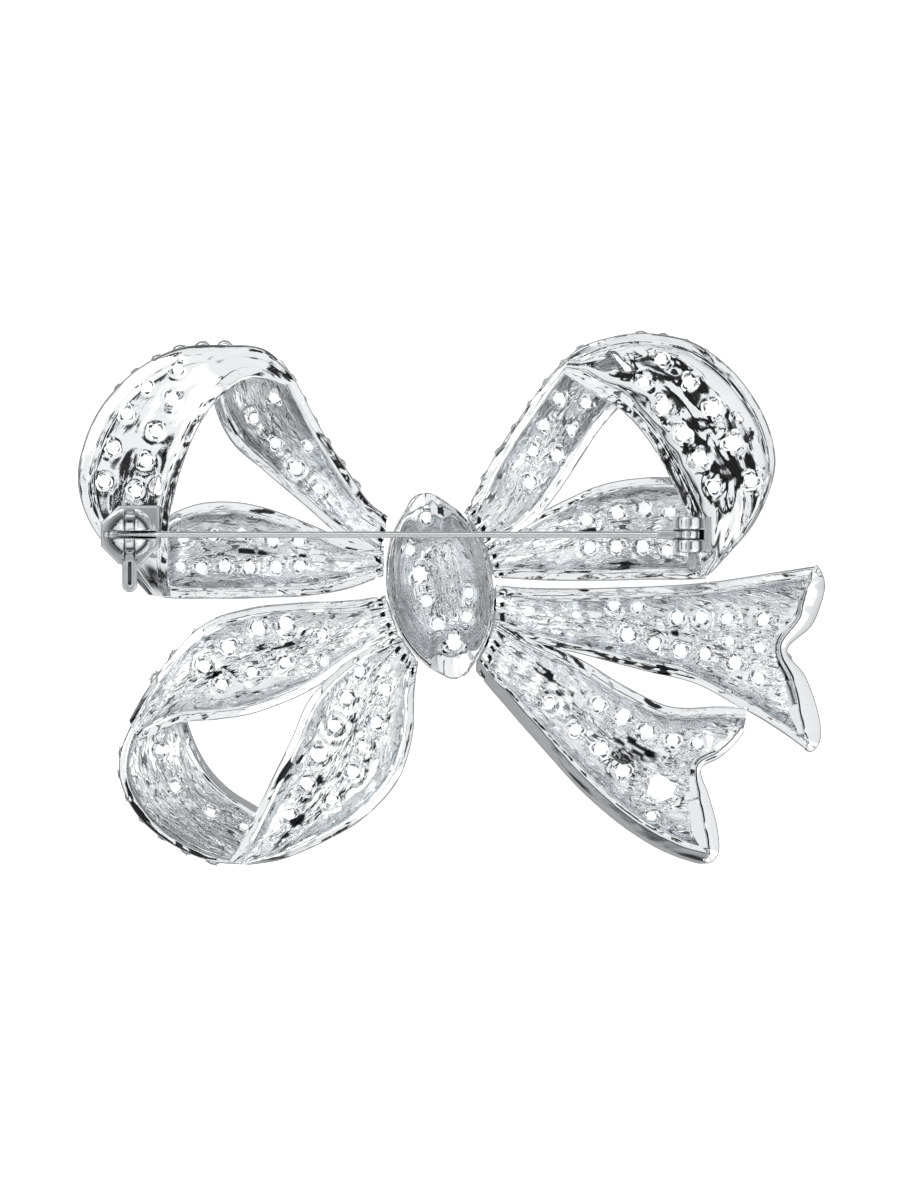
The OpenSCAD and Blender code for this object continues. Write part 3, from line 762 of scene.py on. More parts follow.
@dataclass
class Knot:
    """The knot: an oval cup, open at the back, with a peak at its top and its foot.

    Its section runs up the outside, over the crest and down into the cup. A band is where something
    starts and is full along it, counted from 0 to 1.
    """

    x: float = -10
    y: float = 14
    half_w: float = 54
    half_h: float = 88
    lean: float = 9.5
    peak: float = 0.1
    peak_sharpness: int = 14
    steps: int = 236
    rings: int = 22
    shelf: float = 0.15
    shelf_drop: float = 3.2
    wall_share: float = 0.968
    crest_in: float = 0.008
    crest_rise: float = 0.12
    hole_rise: float = 0.3
    seat_step: float = 0.3
    room_seams: float = 1.2
    mean_radius: float = 5.0
    ridge_depth: float = 0.26
    ridge_steps: Pair = (13, 1.5)
    # Darkness of the painted shade in the slots of the border.
    slot_shade: float = 0.85
    slot_wander: float = 1.1
    # Darkness of the painted shade on the cup's inner wall.
    wall_shade: float = 0.4
    wall_coarse: float = 0.95
    floor_coarse: float = 0.9
    front_points: int = 4
    outside: tuple[Pair, ...] = ((0.1, 0), (0.5, 3), (0.84, 20), (1, 48), (1, 78), (0.985, 92))
    inside: tuple[Pair, ...] = (
        (0.9, 80), (0.8, 62), (0.68, 38), (0.58, 18), (0.46, 8), (0.3, 5), (0.1, 4))
    room_front: Pair = (0.5, -50)
    room_back: tuple[Pair, ...] = ((0.9, 90), (0.9, 300))
    holes: tuple[Hole, ...] = (
        (-40, 50, 6, 4), (-30, 26, 9, 3), (-23, -1, 7, 3), (-12, -24, 7, 2), (18, 7, 6, 5),
        (17, -17, 6, 4), (4, -43, 9, 2), (-24, 83, 6, 3))

    FOLDS = RingLayer(0.13, 3, 8, 2, 34)
    FINE_FOLDS = RingLayer(0.06, 7, 5, 3, 80)
    RIM = RingLayer(0.05, 9, 20, 9, 6)
    PEAK_RIM = RingLayer(0.15, 4, 3, 3, 2)
    DENTS = RingLayer(0.08, 5, 40, 3, 12)
    PEAK = (0.84, 0.97)
    PLAIN_PEAK = (0.93, 0.985)
    PLAIN_END = 0.62
    FOLDED_SHARES = (0.42, 0.62)
    WALL_SHARES = (0.55, 0.7)
    FLOOR_SHARES = (0.7, 0.55)
    SHELF_SHARES = (0.3, 0.7)
    CREST_BAND = (0.37, 0.43)
    SHELF_BAND = (0.48, 0.54)
    INSIDE_BAND = (0.5, 0.56)
    PLATE_BAND = (0.66, 0.6)
    SLOT_BAND = (0.28, 0.34, 0.48, 0.42)

    @property
    def centre(self) -> np.ndarray:
        """Middle of the knot."""
        return SIZES.grid(self.x, self.y)

    @property
    def turn(self) -> Pair:
        """Cosine and sine of the knot's lean."""
        return math.cos(math.radians(self.lean)), math.sin(math.radians(self.lean))

    @property
    def radii(self) -> Pair:
        """Half the knot's width and height, in millimetres."""
        return self.half_w * SIZES.width / GRID_W, self.half_h * SIZES.height / GRID_H

    @property
    def angles(self) -> np.ndarray:
        """Angles of the skin's points round the oval, in radians."""
        return np.linspace(0, FULL_TURN, self.steps, endpoint=False)

    @property
    def girth(self) -> np.ndarray:
        """Distance of the skin's points round the oval, in millimetres."""
        return self.angles * sum(self.radii) / 2

    def outline(self, angle: np.ndarray, share: float | np.ndarray, grow: float) -> np.ndarray:
        """Points round the oval.

        Args:
            angle: Angles from the knot's own X axis, in radians.
            share: Share of the outline, one or for each angle.
            grow: How far the oval is grown all round.

        Returns:
            Points before the knot is turned and moved.
        """
        rx, ry = self.radii
        peak = 1 + self.peak * np.abs(np.sin(angle)) ** self.peak_sharpness
        return np.stack(
            [(rx * share + grow) * np.cos(angle), (ry * share + grow) * np.sin(angle) * peak], -1)

    def at_peak(self, angle: np.ndarray) -> np.ndarray:
        """1 at the two peaks of the oval and 0 along its sides."""
        return smooth_step(*self.PEAK, np.abs(np.sin(angle)))

    def put(self, points: np.ndarray) -> np.ndarray:
        """Turns and moves points to the knot's place.

        Args:
            points: The points.

        Returns:
            The points in their places.
        """
        c, s = self.turn
        turned = np.array(points, float)
        turned[..., 0] = points[..., 0] * c - points[..., 1] * s + self.centre[0]
        turned[..., 1] = points[..., 0] * s + points[..., 1] * c + self.centre[1]
        return turned

    def polar(self, x: np.ndarray, y: np.ndarray) -> tuple[np.ndarray, np.ndarray]:
        """Where a place lies round the knot.

        Args:
            x: Across the bow, in millimetres.
            y: Up the bow, in millimetres.

        Returns:
            How far out it is, 1 at the knot's outline, and how far round, in millimetres.
        """
        c, s = self.turn
        dx, dy = x - self.centre[0], y - self.centre[1]
        rx, ry = self.radii
        u, v = (dx * c + dy * s) / rx, (dy * c - dx * s) / ry
        return np.hypot(u, v), np.arctan2(v, u) * (rx + ry) / 2

    def lathe(
        self, name: str, profile: np.ndarray, grow: float = 0.0, relief: Callable | None = None,
        drawn_in: float | np.ndarray = 0.0,
    ) -> bpy.types.Object:
        """A closed skin through rings round the oval.

        Args:
            name: Name of the object.
            profile: Share and height of each ring.
            grow: How far each ring is grown.
            relief: Gives each point's shift along the normal, or None.
            drawn_in: How far each ring is drawn in at the peaks, as a share.

        Returns:
            The object.
        """
        angle, at_peak = self.angles, self.at_peak(self.angles)
        drawn_in = np.broadcast_to(drawn_in, len(profile))
        rings = np.array([
            np.column_stack([
                self.outline(angle, share - drawn * at_peak, grow), z - self.shelf_drop * drawn * at_peak])
            for (share, z), drawn in zip(profile, drawn_in)
        ])
        normal = skin_normals(rings)
        middle = len(profile) // 3
        if (normal[middle, :, :2] * rings[middle, :, :2]).sum() < 0:
            normal = -normal
        if relief:
            rings = rings + normal * relief(angle, profile)[..., None]
        obj = new_object(
            name, self.put(rings).reshape(-1, 3), loft(len(profile), self.steps, turned=True))
        travel = np.hypot(*np.diff(profile * [self.mean_radius, 1.0], axis=0).T)
        travel = np.concatenate([[0], np.cumsum(travel)])
        fold = np.abs(self.girth - self.girth[self.steps // 2])
        places = np.broadcast_arrays(fold[None, :], travel[:, None])
        set_map(obj, RIBBON_MAP, np.stack(places, -1).reshape(-1, 2))
        face_outwards(obj)
        return obj

    def room(self) -> bpy.types.Object:
        """The room that the knot takes out of the ribbons.

        Returns:
            A solid just larger than the knot.
        """
        levels = (self.room_front, *self.outside, *self.room_back)
        profile = np.array([(share, SIZES.low + SIZES.up(rise)) for share, rise in levels])
        return self.lathe("knot_room", profile, grow=SIZES.seam * self.room_seams)

    def relief(self, angle: np.ndarray, profile: np.ndarray) -> np.ndarray:
        """Folds that follow the oval round the cup, and ridges that fan out on its floor.

        Args:
            angle: Angles round the oval, in radians.
            profile: Share and height of each ring.

        Returns:
            Each point's shift along the normal, in millimetres.
        """
        grain, fine = Grain(31), Grain(32)
        angle = angle[None, :]
        row = np.arange(len(profile))[:, None] / len(profile)
        share = profile[:, 0][:, None]
        inner = smooth_step(*self.INSIDE_BAND, row)
        wall = smooth_step(*self.FOLDED_SHARES, share) * inner
        at_peak = self.at_peak(angle)
        plate = at_peak * smooth_step(*self.PLATE_BAND, row)
        folds = self.FOLDS.over(grain, angle, row) + self.FINE_FOLDS.over(fine, angle, row)
        wide, high = self.ridge_steps
        ridges = self.ridge_depth * grain.at(np.cos(angle) * share * wide, high * np.sin(angle) * share)
        rim = self.RIM.over(fine, angle, row) + at_peak * self.PEAK_RIM.over(grain, angle, row)
        cast = (1 - plate) * (wall * folds + (inner - wall) * ridges)
        return cast + plate * self.DENTS.over(grain, angle, row) + (1 - inner) * rim

    def cup(self) -> bpy.types.Object:
        """The knot's own casting, with its holes.

        Returns:
            The object.
        """
        outer = [(min(share, self.wall_share), SIZES.low + SIZES.up(rise)) for share, rise in self.outside]
        inner = [(share, SIZES.front + SIZES.up(rise)) for share, rise in self.inside]
        crest = (self.outside[-1][0] - self.crest_in, max(outer[-1][1], inner[0][1]) + self.crest_rise)
        anchors = np.array([*outer, crest, *inner])
        spans = len(anchors) - 1
        profile = curve(anchors, np.linspace(0, spans, spans * self.rings // 2))
        row = np.arange(len(profile)) / len(profile)
        drawn_in = smooth_step(*self.SHELF_BAND, row) * smooth_step(*self.SHELF_SHARES, profile[:, 0])
        cup = self.lathe("knot_cup", profile, relief=self.relief, drawn_in=self.shelf * drawn_in)
        self.paint(cup, row, profile[:, 0])
        combine(cup, HoleTool("knot_holes", self.holes).build(self.aim), Boolean.CUT)
        return cup

    def paint(self, cup: bpy.types.Object, row: np.ndarray, share: np.ndarray) -> None:
        """Marks the cup's coarse parts, and paints shade: grey on its inner wall and dark slots in its
        border.

        Args:
            cup: The cup, before its holes.
            row: How far along the section each ring is.
            share: Share of the outline of each ring.
        """
        angle, girth = self.angles, self.girth
        at_end = smooth_step(*self.PLAIN_PEAK, np.abs(np.sin(angle)))
        plain = at_end[None, :] * (row < self.PLAIN_END)[:, None]
        wall = smooth_step(*self.CREST_BAND, row) * smooth_step(*self.WALL_SHARES, share)
        wall = wall[:, None] * (1 - plain)
        floor = (smooth_step(*self.INSIDE_BAND, row) * smooth_step(*self.FLOOR_SHARES, share))[:, None]
        set_point_value(cup, COARSE, (self.wall_coarse * wall + self.floor_coarse * floor).ravel())
        wander = Grain(33).at(girth / self.slot_wander, 0 * girth)
        teeth = comb(girth, wander, 0.1) * (1 - self.at_peak(angle))
        border = smooth_step(*self.SLOT_BAND[:2], row) * smooth_step(*self.SLOT_BAND[2:], row)
        # Painted shade: teeth of dark slots round the border, and grey on the inner wall.
        marks = self.slot_shade * border[:, None] * teeth[None, :]
        set_point_value(cup, PAINTED_SHADE, np.maximum(self.wall_shade * wall, marks).ravel())

    def aim(self, x: float, y: float) -> Pair:
        """Long direction of a hole and the height where it comes out."""
        return math.radians(90 + self.lean), SIZES.front + self.hole_rise

    def front_height(self, x: float, y: float) -> float:
        """Height of the knot's front face under a place.

        Args:
            x: Across the bow, in millimetres.
            y: Up the bow, in millimetres.

        Returns:
            The height, in millimetres.
        """
        shares, rises = zip(*self.outside[:self.front_points])
        share = float(self.polar(np.array(x), np.array(y))[0])
        return SIZES.low + SIZES.up(float(np.interp(share, shares, rises)))

    def seats(self) -> list[Seat]:
        """Seat of the stone in front of each hole."""
        return [
            seat_at(self.front_height, *SIZES.grid(x, y), half * SIZES.square + SIZES.seat, self.seat_step)
            for x, y, half, _ in self.holes]


@dataclass(frozen=True)
class HoleTool:
    """Ragged prisms that pierce a casting, wider where they come out in its channel.

    A hole draws its raggedness from chance, between the numbers of a pair. The flare holds how much
    wider than its outline a hole is at some heights about the channel's surface.
    """

    name: str
    holes: tuple[Hole, ...]
    sides: int = 30
    size: float = 0.96
    three_cornered: Pair = (0.14, 0.34)
    five_cornered: Pair = (0.02, 0.12)
    uneven: Pair = (-0.05, 0.05)
    big_hole: float = 10
    big_flat: float = 0.76
    big_corner: float = 1.3
    big_turn: float = 0.14
    reach: Pair = (-3.0, 20.0)
    ends: Pair = (0.92, 1.25)
    flare: tuple[Pair, ...] = ((-0.5, 0.94), (-0.12, 1.03), (0.3, 1.22))

    def outline(self, half: float, extra: float, chance: np.random.Generator) -> np.ndarray:
        """Ragged outline of one hole about its middle, in millimetres.

        Args:
            half: Half its width, in squares.
            extra: How much longer than wide it is, on each side.
            chance: Where it draws its raggedness from.

        Returns:
            The points, with the hole's long direction along X.
        """
        angle = np.linspace(0, FULL_TURN, self.sides, endpoint=False)
        turned = angle - chance.uniform(0, FULL_TURN)
        ragged = self.size + chance.uniform(*self.three_cornered) * np.cos(3 * turned)
        ragged = ragged + chance.uniform(*self.uneven, self.sides)
        corners = chance.uniform(*self.five_cornered)
        ragged = ragged + corners * np.cos(5 * (angle - chance.uniform(0, FULL_TURN)))
        if half > self.big_hole:
            third = FULL_TURN / 3
            side = self.big_flat / np.cos((angle - self.big_turn) % third - third / 2)
            ragged = np.minimum(side, self.big_corner)
        oval = np.stack([np.cos(angle) * (half + extra), np.sin(angle) * half], -1)
        return oval * SIZES.square * ragged[:, None]

    def build(self, aim: Aim) -> bpy.types.Object:
        """Builds the prisms.

        Args:
            aim: Gives a hole's long direction and the height of the channel there.

        Returns:
            One object with every prism.
        """
        chance = np.random.default_rng(len(self.holes) * 7 + len(self.name))
        first, last = zip(self.reach, self.ends)
        points, faces = [], []
        for x, y, half, extra in self.holes:
            centre = SIZES.grid(x, y)
            turn, top = aim(x, y)
            c, s = math.cos(turn), math.sin(turn)
            oval = self.outline(half, extra, chance) @ np.array([[c, s], [-s, c]])
            levels = [first, *((top + rise, grow) for rise, grow in self.flare), last]
            faces += loft(len(levels), self.sides, start=len(points))
            for z, grow in levels:
                points += [(*(centre + p * grow), z) for p in oval]
        return new_object(self.name, np.array(points), faces)


KNOT = Knot()


@dataclass(frozen=True)
class Skin:
    """A ribbon's skin as a grid of points: rows along the ribbon, columns round its section.

    Distances are in millimetres, and a share is of the half width, counted from the middle line.
    """

    points: np.ndarray
    width: np.ndarray
    along: np.ndarray
    across: np.ndarray
    share: np.ndarray
    inside: np.ndarray

    @property
    def from_knot(self) -> np.ndarray:
        """How far each point is from the knot, 1 at its outline."""
        return KNOT.polar(self.points[..., 0], self.points[..., 1])[0]

    def from_place(self, x: float, y: float) -> np.ndarray:
        """Distance of each point from a grid point, seen from above."""
        return np.linalg.norm(self.points[..., :2] - SIZES.grid(x, y), axis=-1)


@dataclass(frozen=True)
class Rim:
    """One rim of a ribbon, from the wall of its channel out to its edge.

    The line holds how far the rim has fallen at each share of its width, with a crease at its foot.
    """

    side: int
    wall: np.ndarray
    crease: np.ndarray
    drops: np.ndarray

    LINE = (
        (0, 0.38), (0.04, 0.22), (0.12, 0.11), (0.3, 0.015), (0.36, 0), (0.6, 0.08), (0.8, 0.16),
        (0.96, 0.25), (1, 0.42))
    PLACES = np.linspace(0, 1, 13) ** 1.2
    CREASE_SHARE = 0.16
    EDGE_SHARE = 0.9

    @property
    def foot(self) -> np.ndarray:
        """How deep the channel's wall meets the rim."""
        return self.drops[0] * self.crease

    def columns(self, bent: np.ndarray) -> list[Column]:
        """The rim's columns, from the wall to the edge.

        Args:
            bent: 0 where the ribbon starts as a plain plate, and 1 past it.

        Returns:
            Share, depth and whether it is in the channel, for each column.
        """
        found = []
        for place, drop in zip(self.PLACES, self.drops):
            kept = bent if place < self.EDGE_SHARE else 0.5 + 0.5 * bent
            kept = self.crease if place < self.CREASE_SHARE else kept
            found.append((self.side * (self.wall + (1 - self.wall) * place), drop * kept, 0.0))
        return found


@dataclass
class Ribbon:
    """One cast ribbon: a channel between two rims, with holes cast through it.

    A row of its table holds the first edge's x, y and height, the second edge's, and the depth of the
    channel between them. Rims, creases and falls are for the first edge and the second: the width of
    the rim, the depth of the crease at its foot, and how far it falls to the edge.

    Attributes:
        gaps: Holes without a stone.
        streaks: Places of dark streaks of painted shade.
        dim: How dark the painted shade is on the far part of the channel.
        ripples: Depth of the even ripples along the channel.
        ridge: How round the rims are.
        plate: How long the plain plate is that the ribbon starts with, in millimetres.
        lumps: Share of the usual lumps.
        hollowed: Share of the table's depth that the channel has.
    """

    name: str
    rows: tuple[Row, ...]
    holes: tuple[Hole, ...]
    gaps: tuple[Hole, ...] = ()
    cast: Cast = Cast.COARSE
    seed: int = 1
    streaks: tuple[Hole, ...] = ()
    dim: float = 0.25
    along_steps: int = 190
    channel_steps: int = 50
    outer_steps: int = 24
    ripples: float = 0.0
    rims: Pair = (1.15, 1.15)
    creases: Pair = (0.75, 0.75)
    falls: Pair = (0.06, 0.06)
    ridge: float = 1.0
    plate: float = 0.0
    lumps: float = 1.0
    hollowed: float = 1.0

    HALVINGS = 14
    RIM_SHARE = 0.7
    FLANK = 0.87
    CHANNEL_EDGE = 0.96
    SLOPE_STEP = 0.2
    FRONT_TOP = 3
    EDGE_COARSE = 0.06
    EDGE_FADE = 0.12
    CALM_BY_KNOT = (1.16, 1.3)
    FAR = (0.15, 0.7)
    FAR_COARSE = 0.6
    PLAIN_DIM = 0.26
    # Darkness of the painted shade in the crease at each rim's foot.
    SEAM_SHADE = 0.45
    SEAM_BELL = (0.03, 0.06)
    RIPPLE_LENGTH = 2.1
    PLEAT_DEPTH = 0.3
    PLEAT_WIDTH = 0.92
    PLEAT_REACH = (1.08, 1.95)
    RIM_SHRINK = 0.07
    LIPS = {Cast.COARSE: 0.085, Cast.SMOOTH: 0.02}
    SLOT_DEPTH = 0.3
    SLOT_WANDER = (1.1, 6)
    SLOT_START = 1.09
    SLOT_END = 1.17
    SWAY = Layer(0.5, 5, 6, shift=9)
    DRAWN = Layer(0.12, 4.2, 0.95)
    FINE_DRAWN = Layer(0.06, 1.9, 0.42)
    PITTED = Layer(0.07, 0.9, 0.7)
    LUMPS = Layer(0.13, 1.7, 1.1)
    FINE_LUMPS = Layer(0.04, 2.2, 0.5)
    RIM_WAVES = Layer(0.06, 2.2, 0.9)
    FINE_RIM_WAVES = Layer(0.02, 0.8, 0.4, shift=7)
    UNEVEN_LIPS = Layer(0.7, 0.8, 0.8)
    STREAK_LINES = Layer(1.0, 1.1, 0.3)

    def lines(self, s: np.ndarray) -> tuple[np.ndarray, np.ndarray, np.ndarray]:
        """Both edges and the depth of the channel.

        Args:
            s: Places along the ribbon, in rows.

        Returns:
            Points of the first edge, points of the second edge, and depths.
        """
        row = curve(np.array(self.rows, float), s)
        scale = np.array([SIZES.width / GRID_W, SIZES.height / GRID_H, SIZES.ribbon_rise / 100])
        shift = np.array([0, 0, SIZES.front])
        return row[:, 0:3] * scale + shift, row[:, 3:6] * scale + shift, SIZES.up(row[:, 6])

    def side_of(self, s: float, point: np.ndarray) -> float:
        """Which side of the ribbon's cross line a point of the plan is on.

        Args:
            s: Place of the line, in rows.
            point: The point.

        Returns:
            A number that changes its sign at the line.
        """
        a, b, _ = self.lines(np.array([s]))
        run, arm = (b - a)[0, :2], point - a[0, :2]
        return float(run[0] * arm[1] - run[1] * arm[0])

    def place(self, x: float, y: float) -> tuple[float, float]:
        """Where a point of the plan lies on the ribbon.

        Args:
            x: Across the bow, in millimetres.
            y: Up the bow, in millimetres.

        Returns:
            The place along the ribbon, in rows, and across it, from 0 to 1.
        """
        point = np.array([x, y])
        for i in range(len(self.rows) - 1):
            low, high = float(i), float(i + 1)
            if self.side_of(low, point) * self.side_of(high, point) > 0:
                continue
            for _ in range(self.HALVINGS):
                middle = (low + high) / 2
                if self.side_of(low, point) * self.side_of(middle, point) > 0:
                    low = middle
                else:
                    high = middle
            a, b, _ = self.lines(np.array([low]))
            run = (b - a)[0, :2]
            share = float((point - a[0, :2]) @ run / (run @ run))
            if -0.1 < share < 1.1:
                return low, share
        return 0.0, 0.5

    def channel_height(self, x: float, y: float) -> float:
        """Height of the channel's surface under a point of the plan.

        Args:
            x: Across the bow, in millimetres.
            y: Up the bow, in millimetres.

        Returns:
            The height, in millimetres.
        """
        s, share = self.place(x, y)
        a, b, belly = self.lines(np.array([s]))
        edge = a[0, 2] + (b[0, 2] - a[0, 2]) * share
        return float(edge - belly[0] * channel(np.array(min(abs(2 * share - 1), self.CHANNEL_EDGE))))

    def front_height(self, x: float, y: float) -> float:
        """Height of the front face under a point of the plan."""
        return self.channel_height(x, y) - SIZES.floor

    def direction(self, x: float, y: float) -> float:
        """Angle of the ribbon's run at a point of the plan.

        Args:
            x: Across the bow, in millimetres.
            y: Up the bow, in millimetres.

        Returns:
            The angle, in radians.
        """
        s, _ = self.place(x, y)
        a, b, _ = self.lines(np.array([s - 0.1, s + 0.1]))
        step = (a[1] + b[1] - a[0] - b[0])[:2]
        return math.atan2(step[1], step[0])

    def aim(self, x: float, y: float) -> Pair:
        """Long direction of a hole and the height where it comes out."""
        place = SIZES.grid(x, y)
        return self.direction(*place), self.channel_height(*place)

    def flank_seats(self, start: float, end: float, count: int) -> list[Seat]:
        """Seats of a row of stones along the first edge's flank.

        Args:
            start: Place of the first stone, in rows.
            end: Place of the last stone.
            count: How many stones.

        Returns:
            The seat of each stone.
        """
        a, b, _ = self.lines(np.linspace(start, end, count))
        return [
            seat_at(self.front_height, x, y, SIZES.edge_stone / 2, self.SLOPE_STEP)
            for x, y, _ in a + (b - a) * (1 - self.FLANK) / 2]

    def seats(self) -> list[Seat]:
        """Seat of the stone over each hole."""
        return [
            seat_at(
                self.front_height, *SIZES.grid(x, y), half * SIZES.square + SIZES.seat, self.SLOPE_STEP)
            for x, y, half, _ in self.holes]

    def both_rims(self, run: np.ndarray, width: np.ndarray, bent: np.ndarray) -> list[Rim]:
        """The rims of the first edge and of the second.

        Args:
            run: Distances along the ribbon.
            width: Width of the ribbon at each.
            bent: 0 where the ribbon starts as a plain plate, and 1 past it.

        Returns:
            Both rims.
        """
        ease = 1.0 if self.cast is Cast.COARSE else 0.1 + 0.9 * smooth_step(2.0, 7.0, run)
        line = np.interp(Rim.PLACES, *np.array(Rim.LINE).T)
        roof = line * (self.ridge + (1 - self.ridge) * smooth_step(0.88, 0.98, Rim.PLACES))
        return [
            Rim(
                side, wall=1 - np.minimum(self.RIM_SHARE, 2 * rim / width), crease=ease * crease * bent,
                drops=roof + fall * np.clip(Rim.PLACES - 0.3, 0, 1))
            for side, rim, crease, fall in zip((-1, 1), self.rims, self.creases, self.falls)
        ]

    def columns(self, rims: list[Rim], belly: np.ndarray, bent: np.ndarray) -> list[Column]:
        """Columns round the ribbon's section.

        Args:
            rims: Its rims.
            belly: Depth of the front face at each place along the ribbon.
            bent: 0 where the ribbon starts as a plain plate, and 1 past it.

        Returns:
            Share, depth and whether it is in the channel, for each column.
        """
        first, second = rims
        hollow = belly * self.hollowed * (0.15 + 0.85 * bent)
        outer, inner = (
            np.sin(np.linspace(-1, 1, count) * math.pi / 2)[1:-1]
            for count in (self.outer_steps, self.channel_steps))
        front, back = [], []
        for v in outer:
            low = (first if v < 0 else second).drops[-1]
            wall = SIZES.floor - (SIZES.floor - low) * abs(v) ** 8
            front.append((np.full_like(belly, v), belly * channel(v) + wall, 0.0))
        for v in inner[::-1]:
            rim = first if v < 0 else second
            back.append((rim.wall * v, rim.foot + (hollow - rim.foot) * channel(v), 1.0))
        return front + second.columns(bent)[::-1] + back + first.columns(bent)

    def skin(self) -> bpy.types.Object:
        """The ribbon's closed skin, with its relief, before the holes.

        Returns:
            The object.
        """
        a, b, belly = self.lines(np.linspace(0, len(self.rows) - 1, self.along_steps))
        width = np.linalg.norm((b - a)[:, :2], axis=1)
        middle = (a + b)[:, :2] / 2
        run = np.concatenate([[0], np.cumsum(np.linalg.norm(np.diff(middle, axis=0), axis=1))])
        bent = smooth_step(0.6 * self.plate, self.plate, run) if self.plate else np.ones_like(run)
        rims = self.both_rims(run, width, bent)
        columns = self.columns(rims, belly, bent)
        points = np.stack([
            a + (b - a) * ((v + 1) / 2)[:, None] - np.stack([0 * v, 0 * v, depth], -1)
            for v, depth, _ in columns
        ], 1)
        share = np.stack([v for v, _, _ in columns], 1)
        smooth = Skin(
            points, width[:, None], along=np.broadcast_to(run[:, None], share.shape),
            across=share * width[:, None] / 2, share=share, inside=np.array([flag for _, _, flag in columns]))
        normal = skin_normals(points)
        if normal[self.along_steps // 2, self.outer_steps // 2, 2] > 0:
            normal = -normal
        slots = self.slots(smooth)
        shift = self.relief(smooth) - self.SLOT_DEPTH * slots
        rough = replace(smooth, points=points + normal * shift[..., None])
        obj = new_object(self.name, rough.points.reshape(-1, 3), loft(*share.shape))
        set_map(obj, RIBBON_MAP, np.stack([rough.along, rough.across], -1).reshape(-1, 2))
        self.paint(obj, rough, rims, slots)
        face_outwards(obj)
        return obj

    def paint(self, obj: bpy.types.Object, skin: Skin, rims: list[Rim], slots: np.ndarray) -> None:
        """Marks the coarse parts of the channel, and where shade is painted.

        Args:
            obj: The ribbon's mesh.
            skin: The points of its skin.
            rims: Its rims.
            slots: 1 in the slots under the knot.
        """
        first, second = rims
        on_first = skin.share < 0
        wall = np.where(on_first, first.wall[:, None], second.wall[:, None])
        from_rim = (wall - np.abs(skin.share)) * skin.width / 2
        edge = smooth_step(0.0, self.EDGE_FADE, from_rim)
        edge = edge * (0.1 + 0.9 * smooth_step(*self.CALM_BY_KNOT, skin.from_knot))
        # The far part of the channel is darkened with painted shade, and its creases made stronger when that
        # shade is deep.
        far = smooth_step(*self.FAR, skin.along / skin.along[-1, 0]) * skin.inside * edge
        coarse = self.cast.value * (1 + self.FAR_COARSE * far * (self.dim > self.PLAIN_DIM))
        coarse = self.EDGE_COARSE + edge * skin.inside * (coarse - self.EDGE_COARSE)
        set_point_value(obj, COARSE, coarse.ravel())
        # A line of painted shade in the crease where the channel's wall meets each rim, as dark as the crease
        # is deep.
        rim_crease_shade = self.SEAM_SHADE * bell(from_rim, *self.SEAM_BELL)
        rim_crease_shade = rim_crease_shade * np.where(on_first, first.crease[:, None], second.crease[:, None])
        on_back = np.arange(len(skin.inside)) >= self.outer_steps - 2
        # Painted shade: in the slots under the knot, in the crease at each rim's foot, on the far part of the
        # channel and in the dark streaks.
        marks = (slots * on_back, rim_crease_shade, far * self.dim, self.dark_streaks(skin) * on_back)
        set_point_value(obj, PAINTED_SHADE, np.max(marks, axis=0).ravel())

    def relief(self, skin: Skin) -> np.ndarray:
        """How far each point of the skin stands out from its smooth shape, in millimetres.

        Args:
            skin: The smooth skin.

        Returns:
            The shift along the normal.
        """
        broad, fine, edge = Grain(self.seed), Grain(self.seed + 50), Grain(self.seed + 90)
        along, across = skin.along, skin.across
        sway = self.SWAY.over(broad, along, across)
        if self.cast is Cast.SMOOTH:
            lumps = self.LUMPS.over(broad, along, across, slant=across / 4)
            lumps = lumps + self.FINE_LUMPS.over(fine, along, across)
            wave = across * FULL_TURN / self.RIPPLE_LENGTH + 1.6 * sway + 0.08 * along
            past_plate = smooth_step(1.0 + 0.4 * self.plate, 6.0 + 0.6 * self.plate, along)
            cast = (self.lumps * lumps + self.ripples * np.sin(wave)) * past_plate
        else:
            drawn = self.DRAWN.over(broad, along, across, sway)
            drawn = drawn + self.FINE_DRAWN.over(fine, along, across, sway)
            cast = drawn + self.PITTED.over(fine, along, across)
        near = 1 - smooth_step(*self.PLEAT_REACH, skin.from_knot)
        pleats = np.abs(np.sin(across * math.pi / self.PLEAT_WIDTH + sway)) ** 0.6 - 0.62
        pleats = self.PLEAT_DEPTH * near * pleats
        rim = self.RIM_WAVES.over(edge, along, across)
        rim = rim + self.FINE_RIM_WAVES.over(edge, along, across) - self.RIM_SHRINK
        lips = self.lips(skin)
        uneven = 1 + self.UNEVEN_LIPS.over(edge, along, across)
        cast = cast * (1 - 0.5 * lips) + self.LIPS[self.cast] * lips * uneven
        fade = smooth_step(0, 0.1, 1 - np.abs(skin.share))
        on_rim = (1 - skin.inside) * (skin.points[..., 2] > self.FRONT_TOP) * (0.3 + 0.7 * fade)
        return skin.inside * fade * (cast + pleats) + on_rim * (rim + 0.4 * pleats)

    def lips(self, skin: Skin) -> np.ndarray:
        """The raised lips round the holes.

        Args:
            skin: The smooth skin.

        Returns:
            1 on a lip and 0 away from them.
        """
        lips = np.zeros_like(skin.along)
        for x, y, half, extra in self.holes + self.gaps:
            reach = (half + 0.5 * extra) * SIZES.square
            lip = bell(skin.from_place(x, y), reach * 1.18 + 0.22, 0.14 + 0.1 * reach)
            lips = np.maximum(lips, lip)
        return lips

